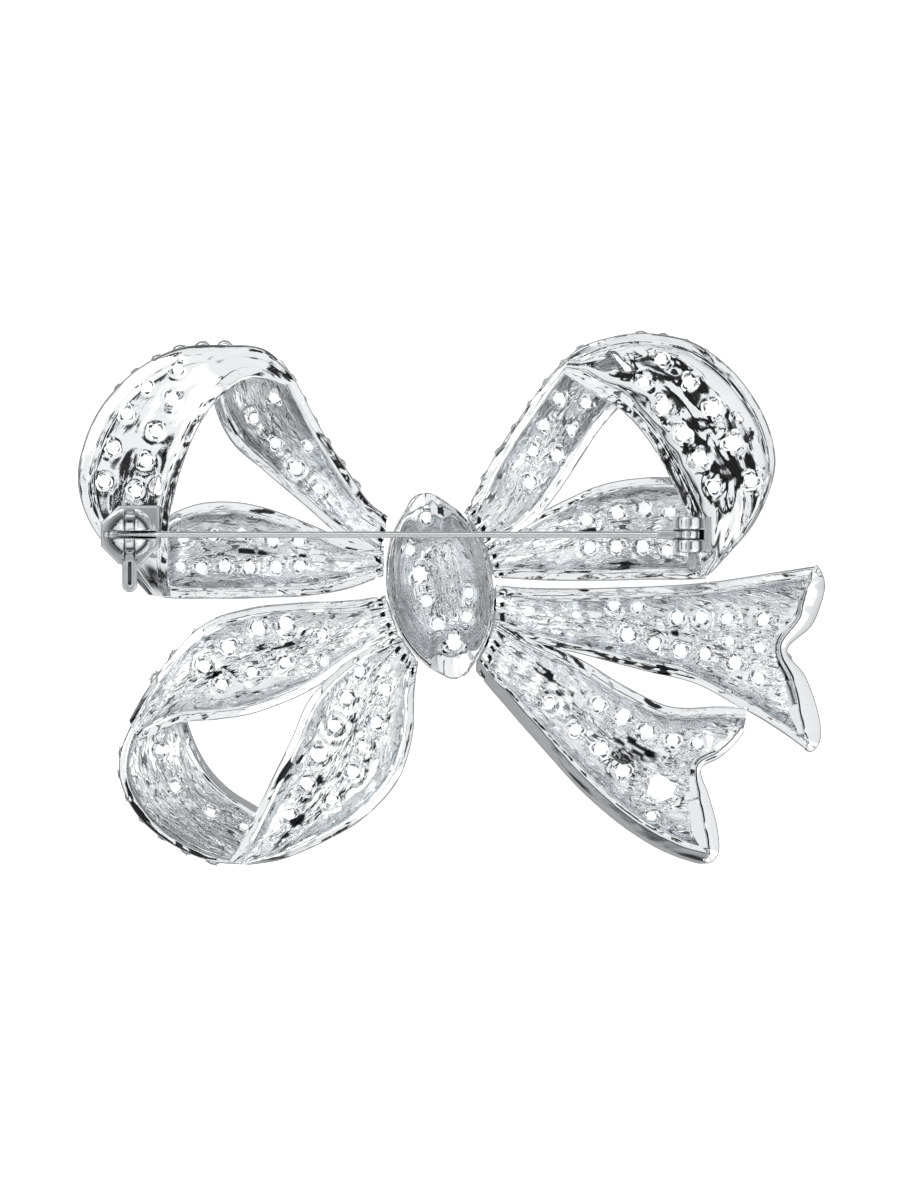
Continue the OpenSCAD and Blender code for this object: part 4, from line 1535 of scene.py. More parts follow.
    def dark_streaks(self, skin: Skin) -> np.ndarray:
        """Groups of dark streaks of painted shade that run along the ribbon in a few places.

        Args:
            skin: The skin.

        Returns:
            1 in the middle of a streak and 0 away from them.
        """
        lines = self.STREAK_LINES.over(Grain(self.seed + 30), skin.along, skin.across)
        dark = np.zeros_like(skin.along)
        for x, y, half, extra in self.streaks:
            centre = SIZES.grid(x, y)
            turn = self.direction(*centre)
            dx, dy = skin.points[..., 0] - centre[0], skin.points[..., 1] - centre[1]
            u = (dx * math.cos(turn) + dy * math.sin(turn)) / ((half + extra) * SIZES.square)
            v = (dy * math.cos(turn) - dx * math.sin(turn)) / (half * SIZES.square)
            dark = np.maximum(dark, smooth_step(1.1, 0.6, np.hypot(u, v)) * smooth_step(0.02, 0.2, lines))
        return dark

    def slots(self, skin: Skin) -> np.ndarray:
        """The short deep slots where the ribbon is drawn in under the knot.

        Args:
            skin: The smooth skin.

        Returns:
            1 in the middle of a slot and 0 away from them.
        """
        out, round_it = KNOT.polar(skin.points[..., 0], skin.points[..., 1])
        length, steps = self.SLOT_WANDER
        wander = Grain(self.seed + 70).at(round_it / length, out * steps)
        start, end = self.SLOT_START + 0.03 * wander, self.SLOT_END + 0.05 * wander
        zone = smooth_step(start, start + 0.02, out) * (1 - smooth_step(end, end + 0.05, out))
        return zone * comb(round_it, wander, 0.2) * (skin.points[..., 2] > self.FRONT_TOP)

    def pierced(self) -> bpy.types.Object:
        """The ribbon with its holes cut through.

        Returns:
            The object.
        """
        ribbon = self.skin()
        tool = HoleTool(self.name + "_holes", self.holes + self.gaps).build(self.aim)
        combine(ribbon, tool, Boolean.CUT)
        return ribbon


@dataclass
class TailEnd:
    """The notched end of a tail: the cut, and the fin that stands along it.

    Leans, inners and falls go evenly along the fin: how far its crest stands in from the cut, the
    width of its inner slope, and how steeply its outer slope falls.
    """

    outline: tuple[Pair, ...]
    leans: tuple[float, ...]
    inners: tuple[float, ...]
    falls: tuple[float, ...] = (0.4, 0.4)
    low: float = 6
    high: float = 60
    crest: float = 0.16
    round_off: float = 1.0
    proud: float = 0.12
    steps: int = 90
    ends: Pair = (1.4, 2.2)
    least_end: float = 0.06
    waves: tuple[float, float, float] = (0.03, 0.06, 0.08)

    def line(self, start: float = 0.0, left: float = 1.0) -> np.ndarray:
        """The rounded line of the cut, from and to some points of the outline."""
        anchors = np.array([SIZES.grid(x, y) for x, y in self.outline])
        return curve(anchors, np.linspace(start, len(anchors) - left, self.steps))

    def cutter(self) -> bpy.types.Object:
        """A block past the line.

        Returns:
            The object.
        """
        line = self.line()
        far = SIZES.grid(GRID_W, 0)[0]
        plan = np.concatenate([line, [[line[-1, 0], -far], [far, -far], [far, far], [line[0, 0], far]]])
        points = np.concatenate([np.column_stack([plan, np.full(len(plan), z)]) for z in (-20.0, 20.0)])
        block = new_object("tail_cut", points, loft(2, len(plan)))
        face_outwards(block)
        return block

    def section(
        self, low: float, top: float, widths: tuple[float, float, float], dent: float
    ) -> tuple[Pair, ...]:
        """The fin's section at one place, from its outer foot over the crest to its inner foot.

        Args:
            low: Height of its feet.
            top: Height of its crest.
            widths: Its lean, its inner width and its fall.
            dent: How far its inner slope is dented.

        Returns:
            Distance out from the cut and height of each point.
        """
        lean, inner, fall = widths
        foot = top - fall * lean
        back, shelf = -lean - self.crest, top - 0.14 - fall * inner
        return (
            (self.proud, low), (self.proud, foot - 0.14), (self.proud - 0.03, foot - 0.05),
            (self.proud - 0.1, foot), (-lean + 0.1, top - 0.03), (-lean, top), (back, top - 0.02),
            (back - 0.05, top - 0.14), (back - 0.85 * inner + dent, shelf),
            (back - inner, low + 0.4), (back - inner, low),
        )

    def fin(self) -> bpy.types.Object:
        """The fin: its outer face leans in from the cut to a narrow crest.

        Returns:
            The object.
        """
        line = self.line(*self.ends)
        step = np.gradient(line, axis=0)
        outward = np.stack([-step[:, 1], step[:, 0]], -1)
        outward /= np.linalg.norm(outward, axis=1, keepdims=True)
        outward *= np.sign(outward[:, 0].sum())
        low, high = (SIZES.front + SIZES.up(rise) for rise in (self.low, self.high))
        share = np.linspace(0, 1, self.steps)
        leans, inners, falls = (
            np.interp(share, np.linspace(0, 1, len(row)), row)
            for row in (self.leans, self.inners, self.falls))
        to_end = np.linalg.norm(line - line[-1], axis=1) / self.round_off
        ends = np.sqrt(1 - np.clip(1 - to_end, 0, 1) ** 2) * (1 - self.least_end) + self.least_end
        grain = Grain(17)
        rings = []
        for i, (point, out, lean, inner, fall, end) in enumerate(
            zip(line, outward, leans, inners, falls, ends)
        ):
            lift, sway, dent = self.waves * grain.at(np.array(i / 4.0), np.array((0.5, 3.5, 6.5)))
            lean = lean + sway
            section = self.section(low, high + lift, (lean, inner, fall), dent)
            centre = (self.proud - 3 * (lean + self.crest)) / 4
            rings.append([(*(point + out * (centre + (shift - centre) * end)), z) for shift, z in section])
        points = np.array(rings)
        fin = new_object("tail_fin", points.reshape(-1, 3), loft(*points.shape[:2]))
        set_map(fin, RIBBON_MAP, points.reshape(-1, 3)[:, :2])
        set_point_value(fin, COARSE, np.zeros(points.shape[0] * points.shape[1]))
        face_outwards(fin)
        return fin


UPPER_LEFT = (
    Ribbon(
        "upper_left_leaf",
        rows=(
            (-62, 84, 50, -72, 42, 50, 8), (-81, 99, 50, -110, 64, 48, 22),
            (-101, 128, 52, -150, 98, 45, 42),
            (-120, 157, 54, -188, 130, 42, 46), (-137, 187, 60, -219, 158, 40, 45),
            (-152, 216, 68, -236, 194, 42, 42), (-168, 240, 76, -238, 230, 52, 26)),
        holes=(
            (-196, 182, 5, 6), (-175, 157, 6, 1), (-154, 132, 8, 2), (-176, 202, 6, 1), (-142, 154, 5, 1),
            (-132, 112, 5, 2)),
        seed=3, dim=0.38),
    Ribbon(
        "upper_left_back_leaf",
        rows=(
            (-66, 24, 50, -66, 54, 50, 8), (-102, 11, 48, -106, 62, 48, 24),
            (-140, 4, 46, -139, 76, 46, 40),
            (-180, 2, 44, -176, 90, 44, 42), (-214, 1, 44, -210, 98, 44, 43),
            (-250, 1, 44, -244, 98, 44, 42),
            (-275, 1, 46, -272, 90, 46, 36), (-287, 2, 48, -284, 82, 48, 3)),
        holes=(
            (-270, 34, 5, 0), (-249, 33, 6, 1), (-226, 34, 7, 1), (-201, 33, 7, 1), (-174, 33, 7, 1),
            (-151, 35, 6, 1), (-267, 62, 5, 1), (-178, 60, 7, 2), (-152, 58, 6, 2), (-209, 65, 5, 2),
            (-238, 64, 5, 2)),
        streaks=((-210, 48, 5, 30), (-150, 45, 4, 14)),
        seed=5, dim=0.33),
    Ribbon(
        "upper_left_band",
        rows=(
            (-153, 220, 72, -166, 214, 74, 2), (-184, 250, 74, -192, 221, 86, 10),
            (-226, 255, 74, -214, 216, 96, 16), (-274, 251, 76, -238, 192, 100, 20),
            (-319, 226, 78, -254, 166, 100, 22), (-351, 190, 80, -266, 136, 100, 22),
            (-368, 150, 82, -274, 108, 100, 20), (-372, 116, 84, -279, 82, 100, 18),
            (-363, 83, 86, -281, 56, 98, 14), (-343, 52, 78, -281, 28, 84, 10),
            (-302, 5, 48, -279, 3, 50, 3)),
        holes=(
            (-272, 231, 6, 1), (-278, 201, 8, 1), (-303, 213, 6, 1), (-323, 186, 7, 1), (-294, 169, 7, 1),
            (-337, 152, 7, 1), (-304, 139, 7, 1), (-346, 119, 7, 1), (-314, 109, 7, 1)),
        gaps=((-292, 114, 3, 5),),
        streaks=((-284, 150, 3, 8),),
        cast=Cast.SMOOTH, seed=7, along_steps=230, ripples=0.015, rims=(1.8, 1.2), falls=(0.14, 0.06),
        creases=(0.06, 0.3), ridge=0.4, plate=12.0, lumps=0.2, hollowed=0.12),
)

UPPER_RIGHT = (
    Ribbon(
        "upper_right_leaf",
        rows=(
            (12, 84, 50, 28, 42, 50, 8), (26, 109, 50, 78, 72, 48, 22), (47, 149, 52, 106, 104, 45, 42),
            (73, 188, 54, 129, 138, 42, 46), (99, 224, 60, 150, 170, 40, 45),
            (127, 251, 68, 172, 194, 42, 40),
            (152, 261, 76, 192, 204, 52, 24)),
        holes=(
            (110, 202, 6, 1), (136, 197, 6, 1), (95, 175, 6, 1), (84, 149, 6, 1), (107, 145, 7, 1),
            (80, 118, 7, 1), (122, 171, 5, 1)),
        seed=11, dim=0.38),
    Ribbon(
        "upper_right_back_leaf",
        rows=(
            (26, 24, 50, 26, 54, 50, 8), (62, 21, 48, 66, 74, 48, 24), (102, 19, 46, 106, 96, 46, 40),
            (152, 19, 44, 153, 116, 44, 44), (196, 20, 44, 198, 123, 44, 44),
            (234, 20, 46, 236, 120, 46, 36),
            (256, 21, 48, 254, 98, 48, 3)),
        holes=(
            (137, 80, 7, 1), (168, 87, 7, 2), (195, 91, 7, 1), (140, 53, 7, 1), (167, 54, 7, 1),
            (193, 54, 7, 1), (217, 50, 6, 1), (220, 88, 5, 1)),
        streaks=((170, 34, 5, 24), (140, 68, 4, 12)),
        seed=13, dim=0.32),
    Ribbon(
        "upper_right_band",
        rows=(
            (120, 244, 72, 113, 226, 74, 2), (150, 260, 74, 142, 206, 86, 12),
            (192, 267, 74, 174, 186, 96, 20),
            (240, 259, 76, 197, 160, 100, 22), (278, 234, 78, 215, 130, 100, 22),
            (306, 199, 80, 230, 100, 100, 20), (322, 162, 82, 240, 76, 100, 18),
            (324, 124, 84, 245, 56, 98, 16),
            (304, 76, 76, 250, 36, 86, 10), (262, 27, 50, 250, 22, 52, 3)),
        holes=(
            (194, 218, 6, 2), (213, 193, 9, 1), (233, 166, 9, 1), (250, 141, 9, 1), (211, 241, 6, 1),
            (239, 218, 7, 1), (263, 191, 9, 1), (283, 157, 9, 1), (301, 119, 8, 1), (264, 113, 7, 1)),
        gaps=((164, 236, 8, 8), (168, 206, 3, 0), (289, 182, 3, 1)),
        cast=Cast.SMOOTH, seed=15, along_steps=230, ripples=0.05, rims=(1.2, 1.5), falls=(0.2, 0.06),
        creases=(0.5, 0.3), ridge=0.7, lumps=0.85, hollowed=0.8),
)

LOWER_LEFT = (
    Ribbon(
        "lower_left_top_leaf",
        rows=(
            (-57, 6, 50, -47, -34, 50, 8), (-100, 0, 52, -98, -62, 54, 20),
            (-150, -2, 62, -142, -92, 68, 30),
            (-202, -8, 74, -194, -113, 80, 36), (-243, -22, 82, -234, -120, 88, 36),
            (-277, -54, 86, -268, -123, 92, 30), (-303, -89, 86, -299, -136, 92, 18),
            (-321, -120, 80, -310, -141, 84, 4)),
        holes=(
            (-192, -28, 8, 2), (-164, -24, 8, 2), (-222, -47, 8, 2), (-246, -66, 7, 1), (-228, -84, 6, 2),
            (-165, -62, 6, 2), (-198, -72, 6, 2), (-128, -34, 5, 2), (-126, -62, 4, 1)),
        streaks=((-194, -90, 6, 18), (-236, -74, 5, 6), (-166, -46, 4, 12)),
        seed=21),
    Ribbon(
        "lower_left_side_leaf",
        rows=(
            (-56, -32, 50, -30, -52, 50, 8), (-102, -60, 56, -35, -90, 54, 20),
            (-139, -96, 72, -37, -136, 66, 32),
            (-158, -137, 84, -52, -181, 76, 38), (-176, -174, 90, -86, -218, 82, 38),
            (-191, -206, 90, -126, -242, 82, 30), (-208, -240, 86, -166, -259, 78, 16),
            (-222, -261, 76, -200, -265, 72, 3)),
        holes=(
            (-90, -72, 6, 1), (-66, -89, 7, 1), (-103, -98, 7, 1), (-74, -122, 7, 1), (-115, -126, 7, 1),
            (-132, -155, 8, 2), (-97, -172, 7, 1), (-143, -183, 7, 2), (-88, -146, 5, 1),
            (-118, -200, 5, 2),
            (-160, -215, 5, 2)),
        streaks=((-160, -168, 7, 20), (-128, -178, 6, 8), (-158, -226, 7, 14), (-60, -110, 4, 8)),
        seed=23),
    Ribbon(
        "lower_left_band",
        rows=(
            (-311, -110, 78, -264, -116, 46, 6), (-328, -146, 74, -255, -143, 16, 7),
            (-330, -180, 72, -241, -168, 4, 6), (-313, -215, 72, -221, -189, 2, 6),
            (-282, -242, 72, -196, -205, 4, 6), (-241, -261, 72, -171, -219, 16, 7),
            (-200, -265, 74, -156, -238, 44, 6)),
        holes=((-291, -150, 5, 2), (-275, -187, 6, 2), (-240, -213, 5, 2), (-206, -227, 4, 2)),
        seed=25, dim=0.34),
)

UPPER_TAIL = Ribbon(
    "upper_tail",
    rows=(
        (28, 18, 52, 30, -22, 52, 14), (70, 13, 50, 80, -42, 50, 30), (120, 12, 48, 133, -55, 48, 42),
        (170, 13, 46, 190, -70, 46, 46), (220, 15, 46, 245, -84, 46, 46), (265, 19, 48, 285, -105, 48, 46),
        (312, 26, 52, 322, -126, 52, 44), (376, 36, 60, 372, -162, 60, 42)),
    holes=(
        (178, -35, 8, 2), (205, -43, 7, 1), (231, -50, 7, 1), (256, -54, 7, 1), (286, -63, 8, 2),
        (309, -78, 7, 1), (164, -6, 6, 1), (188, -7, 6, 1), (228, -18, 7, 1), (252, -18, 7, 1),
        (278, -19, 7, 1), (314, -20, 7, 2), (280, -41, 5, 1), (335, -60, 5, 1), (310, -48, 6, 1)),
    streaks=((214, -70, 6, 16), (332, -36, 6, 4), (150, -46, 4, 12), (232, -34, 4, 10)),
    seed=27, along_steps=240)
LOWER_TAIL = Ribbon(
    "lower_tail",
    rows=(
        (28, -12, 52, 26, -72, 52, 14), (78, -34, 50, 58, -110, 50, 30), (133, -60, 48, 95, -152, 48, 42),
        (176, -86, 46, 135, -195, 46, 46), (221, -106, 46, 180, -232, 46, 46),
        (270, -106, 48, 225, -257, 48, 44),
        (304, -108, 54, 272, -270, 56, 42)),
    holes=(
        (100, -104, 6, 1), (149, -105, 7, 1), (173, -117, 8, 1), (197, -132, 8, 1), (223, -141, 7, 2),
        (126, -130, 7, 1), (151, -149, 8, 1), (173, -171, 8, 1), (212, -188, 13, 2), (248, -144, 6, 1),
        (202, -216, 5, 1)),
    streaks=((185, -146, 13, 16), (96, -72, 8, 10), (262, -226, 8, 6)),
    seed=29, along_steps=220, rims=(1.15, 1.9), falls=(0.06, 1.7))
UPPER_END = TailEnd(
    outline=(
        (330, 42), (360, 37), (370, 29), (374, 14), (370, -4), (360, -26), (336, -50), (354, -76),
        (366, -108),
        (370, -134), (364, -149), (350, -153), (310, -152)),
    leans=(0.6, 1.1, 1.5, 1.45, 1.1, 0.4, 1.1, 1.5, 1.4, 0.8, 0.5),
    inners=(0.3, 0.4, 0.5, 0.5, 0.5, 0.5, 1.0, 1.1, 0.6, 0.3, 0.3),
    falls=(0.4, 0.5, 0.62, 0.66, 0.66, 0.6, 0.5, 0.42, 0.4, 0.4, 0.4))
LOWER_END = TailEnd(
    outline=(
        (302, -60), (296, -119), (288, -138), (270, -156), (250, -169), (258, -196), (266, -226),
        (268, -250),
        (261, -261), (249, -264), (215, -260)),
    leans=(0.3, 0.35, 0.35, 0.3, 0.8, 1.0, 0.8, 0.5, 0.4),
    inners=(0.5, 0.5, 0.5, 0.5, 1.2, 1.5, 0.8, 0.3, 0.3))


@dataclass(frozen=True)
class Flank:
    """A row of stones along a loop's flank: the ribbon, the places in its table, and how many."""

    ribbon: Ribbon
    start: float
    end: float
    count: int


@dataclass
class StoneField:
    """Stones set over the holes and along the flank of a loop, each in a low ring with four grains.

    A stone and its ring are made with a radius of 1 and scaled where they are set.
    """

    node: str
    seats: list[Seat]
    table: float = 0.56
    kites: float = 0.79
    kite_rise: float = 0.56
    girdle: float = 0.04
    facets: int = 8
    ring_sides: int = 20
    ring_section: tuple[Pair, ...] = (
        (0.9, -0.5), (1.12, -0.5), (1.13, -0.06), (1.08, 0.03), (0.99, 0.0), (0.93, -0.12))
    grains: int = 4
    grain: float = 0.17
    grain_sides: int = 8
    grain_levels: int = 4
    grain_foot: float = -0.12
    grain_rise: float = 0.38
    sunk: float = 0.13

    def stone(self) -> bpy.types.Object:
        """A round stone: a table, kites, twice as many halves, and a pavilion.

        Returns:
            The object.
        """
        half, full = self.facets, 2 * self.facets
        points = ring_of(half, self.table, SIZES.crown)
        points += ring_of(half, self.kites, SIZES.crown * self.kite_rise, shift=0.5)
        points += ring_of(full, 1, self.girdle) + ring_of(full, 1, -self.girdle)
        points.append((0, 0, -SIZES.pavilion))
        kite, top, low, point = half, 2 * half, 2 * half + full, 2 * half + 2 * full
        faces: list[Sequence[int]] = [list(range(half))]
        for j in range(half):
            left, right, third = (top + (2 * j + step) % full for step in range(3))
            faces.append((j, kite + j, (j + 1) % half))
            faces.append((kite + j, left, right))
            faces.append((kite + j, right, third))
            faces.append((j, kite + (j - 1) % half, left, kite + j))
        for j in range(full):
            after = (j + 1) % full
            faces.append((top + j, low + j, low + after, top + after))
            faces.append((low + j, point, low + after))
        stone = new_object("cut_stone", np.array(points), faces)
        face_outwards(stone)
        return stone

    def setting(self) -> bpy.types.Object:
        """A ring with grains that grip the stone.

        Returns:
            The object.
        """
        points: list[Point] = []
        faces: list[Sequence[int]] = []
        width = len(self.ring_section)
        for j in range(self.ring_sides):
            turn = j * FULL_TURN / self.ring_sides
            points += [(r * math.cos(turn), r * math.sin(turn), z) for r, z in self.ring_section]
            here, after = j * width, (j + 1) % self.ring_sides * width
            for i in range(width):
                nxt = (i + 1) % width
                faces.append((here + i, here + nxt, after + nxt, after + i))
        for corner in range(self.grains):
            turn = (corner + 0.5) * FULL_TURN / self.grains
            faces += loft(self.grain_levels, self.grain_sides, start=len(points))
            for lift in np.linspace(0, math.pi / 2, self.grain_levels):
                radius = self.grain * math.cos(lift * 0.92)
                height = self.grain_foot + self.grain_rise * math.sin(lift)
                points += [
                    (math.cos(turn) + x, math.sin(turn) + y, z)
                    for x, y, z in ring_of(self.grain_sides, radius, height)]
        setting = new_object("stone_setting", np.array(points), faces)
        setting.data.shade_smooth()
        return setting

    def build(self, tree: bpy.types.NodeTree, glass: bpy.types.Material, metal: bpy.types.Material) -> None:
        """Sets every stone of the field and makes one plain mesh of them.

        Args:
            tree: The geometry tree that sets a stone at each point.
            glass: Material of the stones.
            metal: Material of the settings.
        """
        points = np.array([p + n * (SIZES.stone_gap - self.sunk) for p, n, _ in self.seats])
        stones = new_object("set_" + self.node, points, [])
        layer = stones.data.attributes.new("out", "FLOAT_VECTOR", "POINT")
        layer.data.foreach_set("vector", np.array([n for _, n, _ in self.seats], np.float32).ravel())
        set_point_value(stones, "radius", np.array([r for _, _, r in self.seats]))
        stone, setting = self.stone(), self.setting()
        modifier = stones.modifiers.new("set_stones", "NODES")
        modifier.node_group = tree
        values = {"Stone": stone, "Setting": setting, "Glass": glass, "Metal": metal, "Seed": len(self.seats)}
        for item in tree.interface.items_tree:
            if getattr(item, "in_out", "") == "INPUT" and item.name in values:
                modifier[item.identifier] = values[item.name]
        mesh = evaluated_mesh(stones)
        stones.modifiers.clear()
        stones.data = mesh
        for helper in (stone, setting):
            bpy.data.objects.remove(helper, do_unlink=True)
        finish_piece(stones, "bow", (), (self.node,))


def stone_tree() -> bpy.types.NodeTree:
    """The geometry tree that sets a stone and its ring at each point of a mesh.

    Returns:
        A tree with the inputs Stone, Setting, Glass, Metal and Seed.
    """
    tree = bpy.data.node_groups.new("set_a_stone", "GeometryNodeTree")
    for name, kind in (
        ("Geometry", "Geometry"), ("Stone", "Object"), ("Setting", "Object"), ("Glass", "Material"),
        ("Metal", "Material"), ("Seed", "Int"),
    ):
        tree.interface.new_socket(name, in_out="INPUT", socket_type="NodeSocket" + kind)
    tree.interface.new_socket("Geometry", in_out="OUTPUT", socket_type="NodeSocketGeometry")
    desk = NodeDesk(tree)
    given = desk.add("NodeGroupInput").outputs
    out = desk.add("GeometryNodeInputNamedAttribute", {"data_type": "FLOAT_VECTOR"}, Name="out")
    radius = desk.add("GeometryNodeInputNamedAttribute", {"data_type": "FLOAT"}, Name="radius")
    aim = desk.add("FunctionNodeAlignRotationToVector", {"axis": "Z"}, Vector=out.outputs["Attribute"])
    chance = desk.add("FunctionNodeRandomValue", {"data_type": "FLOAT"}, Seed=given["Seed"])
    desk.put(chance.inputs[2], -math.pi)
    desk.put(chance.inputs[3], math.pi)
    spin = desk.add("ShaderNodeCombineXYZ", Z=chance.outputs[1])
    turned = desk.add(
        "FunctionNodeRotateRotation", {"rotation_space": "LOCAL"}, Rotation=aim.outputs["Rotation"],
        Rotate_By=spin.outputs["Vector"],
    )
    wide = radius.outputs["Attribute"]
    size = desk.add("ShaderNodeCombineXYZ", X=wide, Y=wide, Z=1.0)
    joined = desk.add("GeometryNodeJoinGeometry")
    parts = []
    for shape, finish in (("Stone", "Glass"), ("Setting", "Metal")):
        source = desk.add("GeometryNodeObjectInfo", Object=given[shape])
        placed = desk.add(
            "GeometryNodeInstanceOnPoints", Points=given["Geometry"], Instance=source.outputs["Geometry"],
            Rotation=turned.outputs["Rotation"], Scale=size.outputs["Vector"],
        )
        plain = desk.add("GeometryNodeRealizeInstances", Geometry=placed.outputs["Instances"])
        parts.append(desk.add(
            "GeometryNodeSetMaterial", Geometry=plain.outputs["Geometry"], Material=given[finish]))
    for part in parts:
        desk.put(joined.inputs["Geometry"], part.outputs["Geometry"])
    desk.add("NodeGroupOutput", Geometry=joined.outputs["Geometry"])
    return tree


LOOPS = {"upper_left_loop": UPPER_LEFT, "upper_right_loop": UPPER_RIGHT, "lower_left_loop": LOWER_LEFT}
STONES = {
    "stones_upper_left": (
        UPPER_LEFT, (Flank(UPPER_LEFT[0], 1.6, 5.2, 6), Flank(UPPER_LEFT[2], 2, 4.4, 6))),
    "stones_upper_right": (
        UPPER_RIGHT, (Flank(UPPER_RIGHT[0], 1.4, 5.1, 7), Flank(UPPER_RIGHT[2], 2, 3.4, 4))),
    "stones_lower_left": (
        LOWER_LEFT, (Flank(LOWER_LEFT[0], 3.6, 5.6, 4), Flank(LOWER_LEFT[2], 1.2, 5, 7))),
    "stones_tails": ((UPPER_TAIL, LOWER_TAIL), (Flank(UPPER_TAIL, 5.2, 6.1, 3),)),
    "stones_knot": ((KNOT,), ()),
}


@dataclass
class Bow:
    """The castings of the bow and the stones on their fronts."""

    metal: bpy.types.Material
    glass: bpy.types.Material

    def finish(self, obj: bpy.types.Object, node: str) -> None:
        """Finishes a casting.

        Args:
            obj: The casting.
            node: The node that it stands for.
        """
        obj.name = "cast_" + node
        shade(obj, SHARP_DEGREES)
        finish_piece(obj, "bow", (self.metal,), (node,))

    def tail(self, ribbon: Ribbon, end: TailEnd) -> bpy.types.Object:
        """One tail with its notched end.

        Args:
            ribbon: Its ribbon.
            end: Its end.

        Returns:
            The object.
        """
        piece = ribbon.pierced()
        combine(piece, end.cutter(), Boolean.CUT)
        combine(piece, end.fin(), Boolean.JOIN)
        return piece

    def cast(self, node: str, pieces: Sequence[bpy.types.Object]) -> None:
        """Casts some ribbons in one piece, hollowed where the knot sits.

        Args:
            node: The node that the piece stands for.
            pieces: The ribbons, which are used up.
        """
        base, *others = pieces
        for other in others:
            combine(base, other, Boolean.JOIN)
        combine(base, KNOT.room(), Boolean.CUT)
        self.finish(base, node)

    def build(self) -> None:
        """Builds every casting and every field of stones."""
        for node, ribbons in LOOPS.items():
            self.cast(node, [ribbon.pierced() for ribbon in ribbons])
        self.cast("tails", [self.tail(UPPER_TAIL, UPPER_END), self.tail(LOWER_TAIL, LOWER_END)])
        self.finish(KNOT.cup(), "knot")
        tree = stone_tree()
        for node, (parts, flanks) in STONES.items():
            seats = [seat for part in parts for seat in part.seats()]
            for flank in flanks:
                seats += flank.ribbon.flank_seats(flank.start, flank.end, flank.count)
            StoneField(node, seats).build(tree, self.glass, self.metal)


@dataclass(frozen=True)
class SoftBox:
    """A square lamp that looks at the bow."""

    name: str
    place: Point
    side: float
    power: float

    def build(self) -> None:
        """Puts the lamp in the scene."""
        lamp = bpy.data.lights.new(self.name, "AREA")
        lamp.size = self.side * MM
        lamp.energy = self.power
        holder = bpy.data.objects.new(self.name, lamp)
        holder.location = Vector(self.place) * MM
        holder.rotation_euler = (-Vector(self.place)).to_track_quat("-Z", "Y").to_euler()
        bpy.context.scene.collection.objects.link(holder)


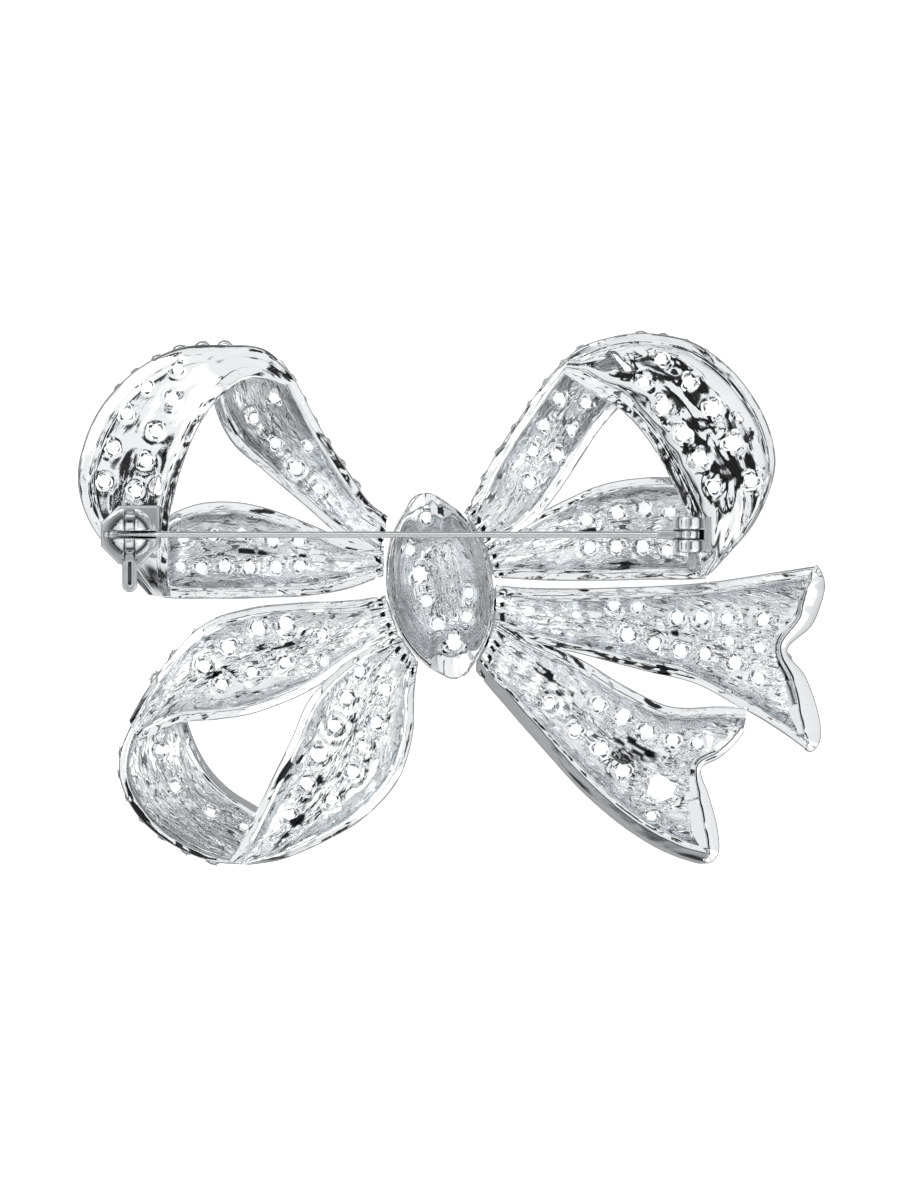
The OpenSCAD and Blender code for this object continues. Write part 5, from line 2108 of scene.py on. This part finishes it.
@dataclass
class Studio:
    """A pale table that glows a little, a bright tent with dark gaps, and the camera above.

    Attributes:
        table_mirrored: How bright the painted reflection of the table is in the plating, near the bow and far
            from it.
        tent_greys: Brightness of the tent by height, from straight down to straight up.
        flag_aim: Where the tent's small dark flag is.
        open_side: Where the tent has no gaps, across the bow.
    """

    frame_h: float = 112.75
    distance: float = 1500.0
    sensor: float = 36.0
    table_side: float = 1200.0
    table_glow: float = 0.85
    table_mirrored: Pair = (0.32, 0.04)
    mirrored_reach: Pair = (40, 75)
    tent_power: float = 0.95
    tent_greys: tuple[Pair, ...] = (
        (0.0, 0.03), (0.1, 0.05), (0.2, 0.3), (0.3, 0.7), (0.5, 0.9), (0.9, 1.0), (0.99, 1.0), (0.994, 0.04))
    gap_edges: Pair = (0.37, 0.39)
    gap_grey: float = 0.03
    open_side: Pair = (0.5, 0.6)
    flag_aim: Point = (0.22, 0.14, 0.965)
    flag_edges: Pair = (0.985, 0.98)
    flag_grey: float = 0.02
    lamps: tuple[SoftBox, ...] = (
        SoftBox("key_box", (-260, 260, 420), side=260, power=0.3),
        SoftBox("fill_box", (320, -180, 360), side=300, power=0.25))

    def floor(self) -> None:
        """The plain pale floor, which shows a painted dim pool round the bow to rays that bounce off the
        plating, so the plating mirrors it dark.
        """
        side = self.table_side / 2
        corners = [(-side, -side, 0), (side, -side, 0), (side, side, 0), (-side, side, 0)]
        floor = new_object("table", np.array(corners), [(0, 1, 2, 3)])
        made, desk = new_material("pale_table")
        path = desk.add("ShaderNodeLightPath").outputs
        through = desk.sums("MAXIMUM", path["Is Transmission Ray"], path["Is Camera Ray"])
        # Painted reflection: to glossy rays the table shows dark, a dim grey pool near the bow fading to near
        # black further out.
        mirrored = desk.sums("MAXIMUM", desk.sums("SUBTRACT", path["Is Glossy Ray"], through), 0.0)
        away = desk.add("ShaderNodeVectorMath", {"operation": "LENGTH"})
        desk.put(away.inputs[0], desk.add("ShaderNodeTexCoord").outputs["Object"])
        near, far = (reach * MM for reach in self.mirrored_reach)
        seen = desk.span(away.outputs["Value"], near, far, *self.table_mirrored)
        glow = desk.sums("MULTIPLY", desk.sums("SUBTRACT", 1.0, mirrored), self.table_glow)
        desk.surface(
            Roughness=0.7, Base_Color=desk.blend(mirrored, (0.9, 0.9, 0.9, 1), (0.05, 0.05, 0.05, 1)),
            Emission_Color=(1, 1, 1, 1),
            Emission_Strength=desk.sums("ADD", glow, desk.sums("MULTIPLY", mirrored, seen)),
        )
        floor.data.materials.append(made)

    def tent(self) -> None:
        """The bright surroundings, which the camera itself sees as plain grey."""
        world = bpy.data.worlds.new("tent")
        bpy.context.scene.world = world
        world.use_nodes = True
        desk = NodeDesk(world.node_tree)
        place = desk.add("ShaderNodeTexCoord").outputs["Generated"]
        split = desk.add("ShaderNodeSeparateXYZ", Vector=place).outputs
        rise = desk.ramp(split["Z"], [(height, (grey,) * 3) for height, grey in self.tent_greys])
        clouds = desk.noise(place, scale=2.8, detail=1.0, distortion=0.3)
        aim = desk.add("ShaderNodeVectorMath", {"operation": "DOT_PRODUCT"})
        desk.put(aim.inputs[0], place)
        desk.put(aim.inputs[1], self.flag_aim)
        gaps = desk.span(clouds, *self.gap_edges, self.gap_grey, 1.0)
        gaps = desk.sums("MAXIMUM", gaps, desk.span(split["X"], *self.open_side))
        flag = desk.span(aim.outputs["Value"], *self.flag_edges, self.flag_grey, 1.0)
        power = desk.sums("MULTIPLY", desk.sums("MULTIPLY", gaps, flag), self.tent_power)
        light = desk.add("ShaderNodeBackground", Color=rise, Strength=power)
        plain = desk.add("ShaderNodeBackground", Color=(0.93, 0.93, 0.93, 1), Strength=1.0)
        mix = desk.add("ShaderNodeMixShader", Fac=desk.add("ShaderNodeLightPath").outputs["Is Camera Ray"])
        for index, background in enumerate((light, plain), start=1):
            desk.put(mix.inputs[index], background.outputs["Background"])
        desk.add("ShaderNodeOutputWorld", Surface=mix.outputs["Shader"])

    def camera(self) -> None:
        """The camera, straight above the bow."""
        lens = bpy.data.cameras.new("camera")
        lens.sensor_width = self.sensor
        lens.lens = self.sensor * self.distance / self.frame_h
        lens.clip_end = 10
        holder = bpy.data.objects.new("camera", lens)
        holder.location = (0, 0, (self.distance + SIZES.front + SIZES.ribbon_rise / 2) * MM)
        bpy.context.scene.collection.objects.link(holder)
        bpy.context.scene.camera = holder

    def build(self) -> None:
        """Builds the whole studio."""
        bpy.context.scene.view_settings.view_transform = "Standard"
        self.camera()
        self.floor()
        self.tent()
        for lamp in self.lamps:
            lamp.build()


def main() -> None:
    """Builds the brooch round its frame."""
    logging.basicConfig(level=logging.INFO, format="%(message)s", stream=sys.stdout)
    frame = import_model()
    Bow(CastPlating().material(), ClearStone().material()).build()
    finding = PolishedPlating("finding_plating", polish=0.09).material()
    wire = PolishedPlating("wire_plating", polish=0.07, nooks=0.05).material()
    catch = PolishedPlating("catch_plating", polish=0.07, nooks=0.55).material()
    dressed = {
        "catch_housing": catch, "catch_lever": catch, "pin_bracket": finding, "hinge_rivet": finding,
        "pin_stem": wire}
    for node, finish in dressed.items():
        materials = frame["nodes"][node].data.materials
        materials.clear()
        materials.append(finish)
        LOG.info("%s: as in the frame, in %s", node, finish.name)
    Studio().build()
    LOG.info("frame: %d nodes", len(frame["nodes"]))


if __name__ == "__main__":
    main()
